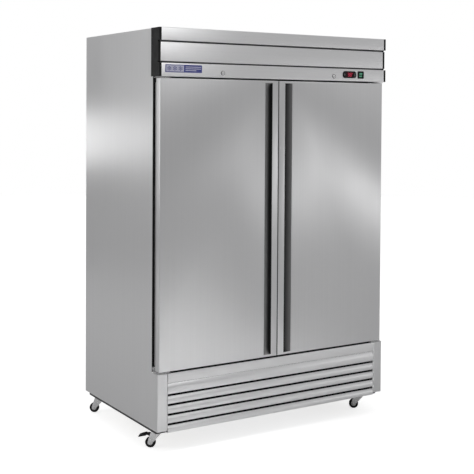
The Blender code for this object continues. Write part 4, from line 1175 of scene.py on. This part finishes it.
def evaporator():
    repaint("evaporator_cover", "liner", 0.0006)
    repaint("evaporator_coil", "fins")
    low, high = box("evaporator_cover")
    spots = [(x, y, low.z) for x in (low.x + 0.012, high.x - 0.012) for y in steps(low.y + 0.02, 0.14, 4)]
    screws("evaporator_screws", spots, -Z, 0.0034)
    for name in SIDES:
        at = joint_at(f"evaporator_fan_spin_{name}")
        fan_guard(name, at.x, at.y, low.z)
        blades(f"evaporator_fan_{name}", at, Z, 0.076, "gasket", 5)
    fin_stack("evaporator_fins", "evaporator_coil", 36, 0.004, 0.0004, (-0.0015, -0.0015), (0.0015, 0.0015))
    dome = [(0.018, 0), (0.022, -0.002), (0.024, -0.014), (0.02, -0.03), (0.01, -0.038), (0.001, -0.04)]
    piece("cabinet_lamp", lathe(new(), dome, (0, low.y + 0.06, low.z), Z, 28), "epoxy")


def blades(node, centre, axis, radius, finish, count):
    """A fan of curved, pitched blades on a domed hub."""
    side, up, axis = basis(axis)
    depth = radius * 0.13
    hub = [
        (0.004, -depth), (radius * 0.24, -depth), (radius * 0.26, -depth * 0.8), (radius * 0.26, depth * 0.7),
        (radius * 0.22, depth), (0.004, depth * 1.05),
    ]
    bm = lathe(new(), hub, centre, axis, 28)
    for start in steps(0, 2 * math.pi / count, count):
        rows = []
        for t in steps(0, 1 / 6, 7):
            width = math.radians(27 + 6 * math.sin(math.pi * t)) * (1 - 0.25 * t ** 3)
            lean = 0.18 * radius * (1 - 0.35 * t)
            top, under = [], []
            for s in steps(-0.5, 1 / 6, 7):
                a = start + 2 * width * s + 0.25 * t ** 2
                outward = (side * math.cos(a) + up * math.sin(a)) * radius * (0.22 + 0.775 * t)
                point = centre + outward + axis * (lean * s + 0.02 * radius * math.cos(math.pi * s))
                top.append(point + axis * 0.0006)
                under.append(point - axis * 0.0006)
            rows.append(top + under[::-1])
        loft(bm, rows)
    piece(f"{node}_blades", bm, finish, node, node, smooth=40)


# ---------------------------------------------------------------- machine bay


def condenser():
    repaint("unit_tray", "galvanised", 0.0003)
    repaint("condenser_coil", "breaker")
    fin_stack("condenser_fins", "condenser_coil", 64, 0.003, 0.0003, (-0.0016, 0.002), (-0.001, 0.0015))
    low, high = box("condenser_coil")
    bends, rise = new(), 0.0215
    for side, x in ((-1, low.x), (1, high.x)):
        out = x + side * 0.01
        for y in steps(low.y + 0.018, 0.024, 2):
            for z in steps(low.z + 0.03 + (0 if side < 0 else rise), 0.043, 5):
                if z + rise <= high.z - 0.004:
                    path = [(x, y, z), (out, y, z), (out, y, z + rise), (x, y, z + rise)]
                    tube(bends, fillet(path, 0.009), 0.0038, 8)
    piece("condenser_bends", bends, "copper")
    repaint("fan_shroud", "frame_paint", 0.0004)
    blades("condenser_fan", joint_at("condenser_fan_spin"), Y, 0.088, "black", 4)


def compressor():
    """A welded pot with a seam band, a domed lid and a terminal cover, on a foot with four rubber mounts."""
    x, y, z = COMPRESSOR_AT
    shell = [
        (0.02, 0.006), (0.045, 0.01), (0.06, 0.017), (0.068, 0.028), (0.0735, 0.046), (0.074, 0.092),
        (0.0755, 0.0925), (0.0778, 0.094), (0.078, 0.102), (0.0755, 0.1035), (0.074, 0.104),
    ]
    shell += [(0.03 + 0.044 * math.cos(a), 0.12 + 0.07 * math.sin(a)) for a in steps(0, math.pi / 16, 9)]
    pot = lathe(new(), shell + [(0.004, 0.192)], COMPRESSOR_AT, Z, 48)
    span = (z + 0.004, z + 0.008)
    foot = plate(new(), (x - 0.095, x + 0.095), (y - 0.06, y + 0.06), 0.02, span, plane="XY")
    span = (x + 0.06, x + 0.098)
    cover = plate(new(), (y - 0.03, y + 0.03), (z + 0.06, z + 0.125), 0.008, span, plane="YZ")
    piece(
        "compressor_shell", pot, "enamel", "cabinet", "compressor",
        joins=(foot, chamfer(cover, 0.0025, 3, 40)), smooth=40,
    )
    mounts = new()
    profile = [(0.01, -0.021), (0.011, -0.015), (0.0085, -0.01), (0.011, -0.005), (0.01, 0.0035)]
    for dx in (-0.08, 0.08):
        for dy in (-0.045, 0.045):
            lathe(mounts, profile, (x + dx, y + dy, z), Z, 20)
            hex_head(mounts, (x + dx, y + dy, z + 0.008), Z, 0.01, 0.005)
    piece("compressor_grommets", mounts, "gasket")


def pipes_and_wiring():
    pipes = new()
    discharge = [
        (0.12, 0.08, 0.1945), (0.07, 0.07, 0.1945), (0.07, 0.000, 0.2945), (0.07, -0.14, 0.32),
        (0.09, -0.24, 0.335), (0.106, -0.285, 0.335),
    ]
    suction = [(0.14, 0.15, 0.2345), (0.1, 0.2, 0.2345), (0.1, 0.23, 0.3), (0.1, 0.23, 0.375)]
    liquid = [
        (-0.2, -0.285, 0.155), (-0.25, -0.285, 0.155), (-0.25, -0.1, 0.15), (-0.2, 0.02, 0.165),
        (-0.12, 0.02, 0.165),
    ]
    for path, radius in ((discharge, 0.004), (suction, 0.0055), (liquid, 0.0034)):
        tube(pipes, fillet(path, 0.03, 7), radius)
    piece("refrigerant_lines", pipes, "copper")
    can = [(0.004, 0), (0.013, 0.01), (0.0135, 0.016), (0.0135, 0.095), (0.013, 0.101), (0.004, 0.111)]
    piece("filter_drier", lathe(new(), can, (-0.125, 0.02, 0.165), X, 24), "zinc")
    cover = plate(new(), (-0.3, -0.18), (0.13, 0.215), 0.006, (0.18, 0.25))
    piece("terminal_box", chamfer(cover, 0.002, 2, 40), "frame_paint")
    repaint("power_cord", "gasket")
    prongs = new()
    for x in (-0.406, -0.392):
        block(prongs, (x - 0.0008, 0.403, 0.255), (x + 0.0008, 0.41, 0.275))
    piece("plug_blades", prongs, "copper")


# ---------------------------------------------------------------- studio and camera

# Each lamp's place, target, size in metres and watts
LAMPS = {
    "key": ((3.5, -4.55, 0.76), (0.3, -0.4, 1.15), (1.2, 0.6), 2.6),
    "key_end": ((4.7, -4.1, 1.22), (0.5, -0.4, 1.3), (1.0, 0.6), 3.9),
    "side": ((-1.5, 5.3, 1.34), (-0.7, 0.3, 1.45), (0.9, 0.5), 10.2),
    "crown": ((1.3, -4.4, 3.1), (-0.5, -0.4, 1.9), (0.9, 1.4), 7.0),
    "left": ((-4.5, 1.0, 2.2), (-0.7, 0.0, 1.0), (1.5, 2.5), 27),
}
# Small lamps straight above the floor in front, which the object doesn't reflect
POOLS = {"pool_near": ((-0.35, -1.15, 3.0), 2.2), "pool": ((0.6, -2.0, 3.0), 1.7)}
# The photograph's camera, solved from corners of the cabinet
CAMERA_AT = Vector((-2.866, -4.5408, 1.6326)) + CENTRE
AZIMUTH, DIP, ROLL = math.radians(31.871), math.radians(1.379), math.radians(0.349)
SENSOR_MM, LENS_MM = 36.0, 75.476
LENS_SHIFT = {"shift_x": 0.0169, "shift_y": -0.2148}


def soft_box(name, at, target, size, watts):
    lamp = bpy.data.lights.new(name, "AREA")
    lamp.shape, lamp.energy = "RECTANGLE", watts
    lamp.size, lamp.size_y = size
    obj = shown(name, lamp)
    obj.location = Vector(at) + CENTRE
    obj.rotation_euler = (Vector(target) - Vector(at)).to_track_quat("-Z", "Y").to_euler()
    return obj


def studio():
    bpy.context.scene.view_settings.view_transform = "Standard"
    world = bpy.data.worlds.new("studio")
    bpy.context.scene.world = world
    world.use_nodes = True
    sky = Nodes(world.node_tree, "Generated")
    height = sky.math("ADD", sky.math("MULTIPLY", sky.along("Z"), 0.5), 0.5)
    shade = sky.ramp(height, ((0.5, (0.275, 0.275, 0.277)), (0.62, (0.41, 0.41, 0.413))))
    sky.fill(sky.tree.nodes["Background"], {"Color": sky.seen((1, 1, 1), shade), "Strength": 1})
    for name, values in LAMPS.items():
        soft_box(name, *values)
    for name, (at, watts) in POOLS.items():
        pool = soft_box(name, at, (at[0], at[1], 0), (0.4, 0.4), watts)
        pool.data.spread = math.radians(44)
        pool.visible_camera = pool.visible_glossy = False


def floor():
    """A pale round floor that glows a little for the camera and can't be seen from below."""
    s = Shader("floor")
    shade = s.blend(s.noise(3, 4), (0.78, 0.78, 0.78), (0.82, 0.82, 0.82))
    clear_below = s.math("SUBTRACT", 1, s.add("NewGeometry").outputs["Backfacing"])
    s.set(Base_Color=shade, Roughness=0.9, Specular_IOR_Level=0.1, Alpha=clear_below)
    s.set(Emission_Color=s.seen((1, 1, 1), (0, 0, 0)), Emission_Strength=0.75)
    radius, count = 14, 64
    mesh, bm = bpy.data.meshes.new("floor"), new()
    bm.faces.new([bm.verts.new(point) for point in circle(Vector(), Z, radius, count)])
    bm.to_mesh(mesh)
    bm.free()
    ground = shown("floor", mesh)
    paint(ground, "floor")


def camera():
    """The photograph's own view: a level lens shifted down, which the turntable views leave out."""
    right = Vector((math.cos(AZIMUTH), -math.sin(AZIMUTH), 0))
    ahead = Vector((math.sin(AZIMUTH) * math.cos(DIP), math.cos(AZIMUTH) * math.cos(DIP), -math.sin(DIP)))
    right = right * math.cos(ROLL) + right.cross(ahead) * math.sin(ROLL)
    data = bpy.data.cameras.new("camera")
    data.sensor_width, data.lens = SENSOR_MM, LENS_MM
    obj = shown("camera", data)
    matrix = Matrix((right, right.cross(ahead), -ahead)).transposed().to_4x4()
    matrix.translation = CAMERA_AT
    obj.matrix_world = matrix
    bpy.context.scene.camera = obj
    return obj


def shift_at_photo_view(obj):
    """Keeps the lens shift only while the camera stands at the photograph's place."""
    for channel, shift in LENS_SHIFT.items():
        setattr(obj.data, channel, shift)
        driver = obj.data.driver_add(channel).driver
        driver.type = "SCRIPTED"
        for name in "xyz":
            variable = driver.variables.new()
            variable.name, variable.type = name, "TRANSFORMS"
            target = variable.targets[0]
            target.id, target.transform_type = obj, f"LOC_{name.upper()}"
            target.transform_space = "WORLD_SPACE"
        away = " + ".join(f"abs({n} - ({v:.4f}))" for n, v in zip("xyz", CAMERA_AT))
        driver.expression = f"{shift} if {away} < 0.02 else 0"


# ---------------------------------------------------------------- build

finishes()
cabinet_sides()
cabinet_top()
cabinet_back()
front_and_mullion()
header()
badge()
controller()
power_switch()
locks()
for side_name, sign in SIDES.items():
    door_skin(side_name, sign)
    door_grip(side_name, sign)
    door_liner(side_name, sign)
    door_gasket(side_name)
hinges()
grille()
base_frame()
for caster_name in CASTERS:
    caster(caster_name)
cold_space()
for shelf_level in ("lower", "middle", "upper"):
    for side_name in SIDES:
        shelf(f"shelf_{shelf_level}_{side_name}")
evaporator()
condenser()
compressor()
pipes_and_wiring()
studio()
floor()
shift_at_photo_view(camera())
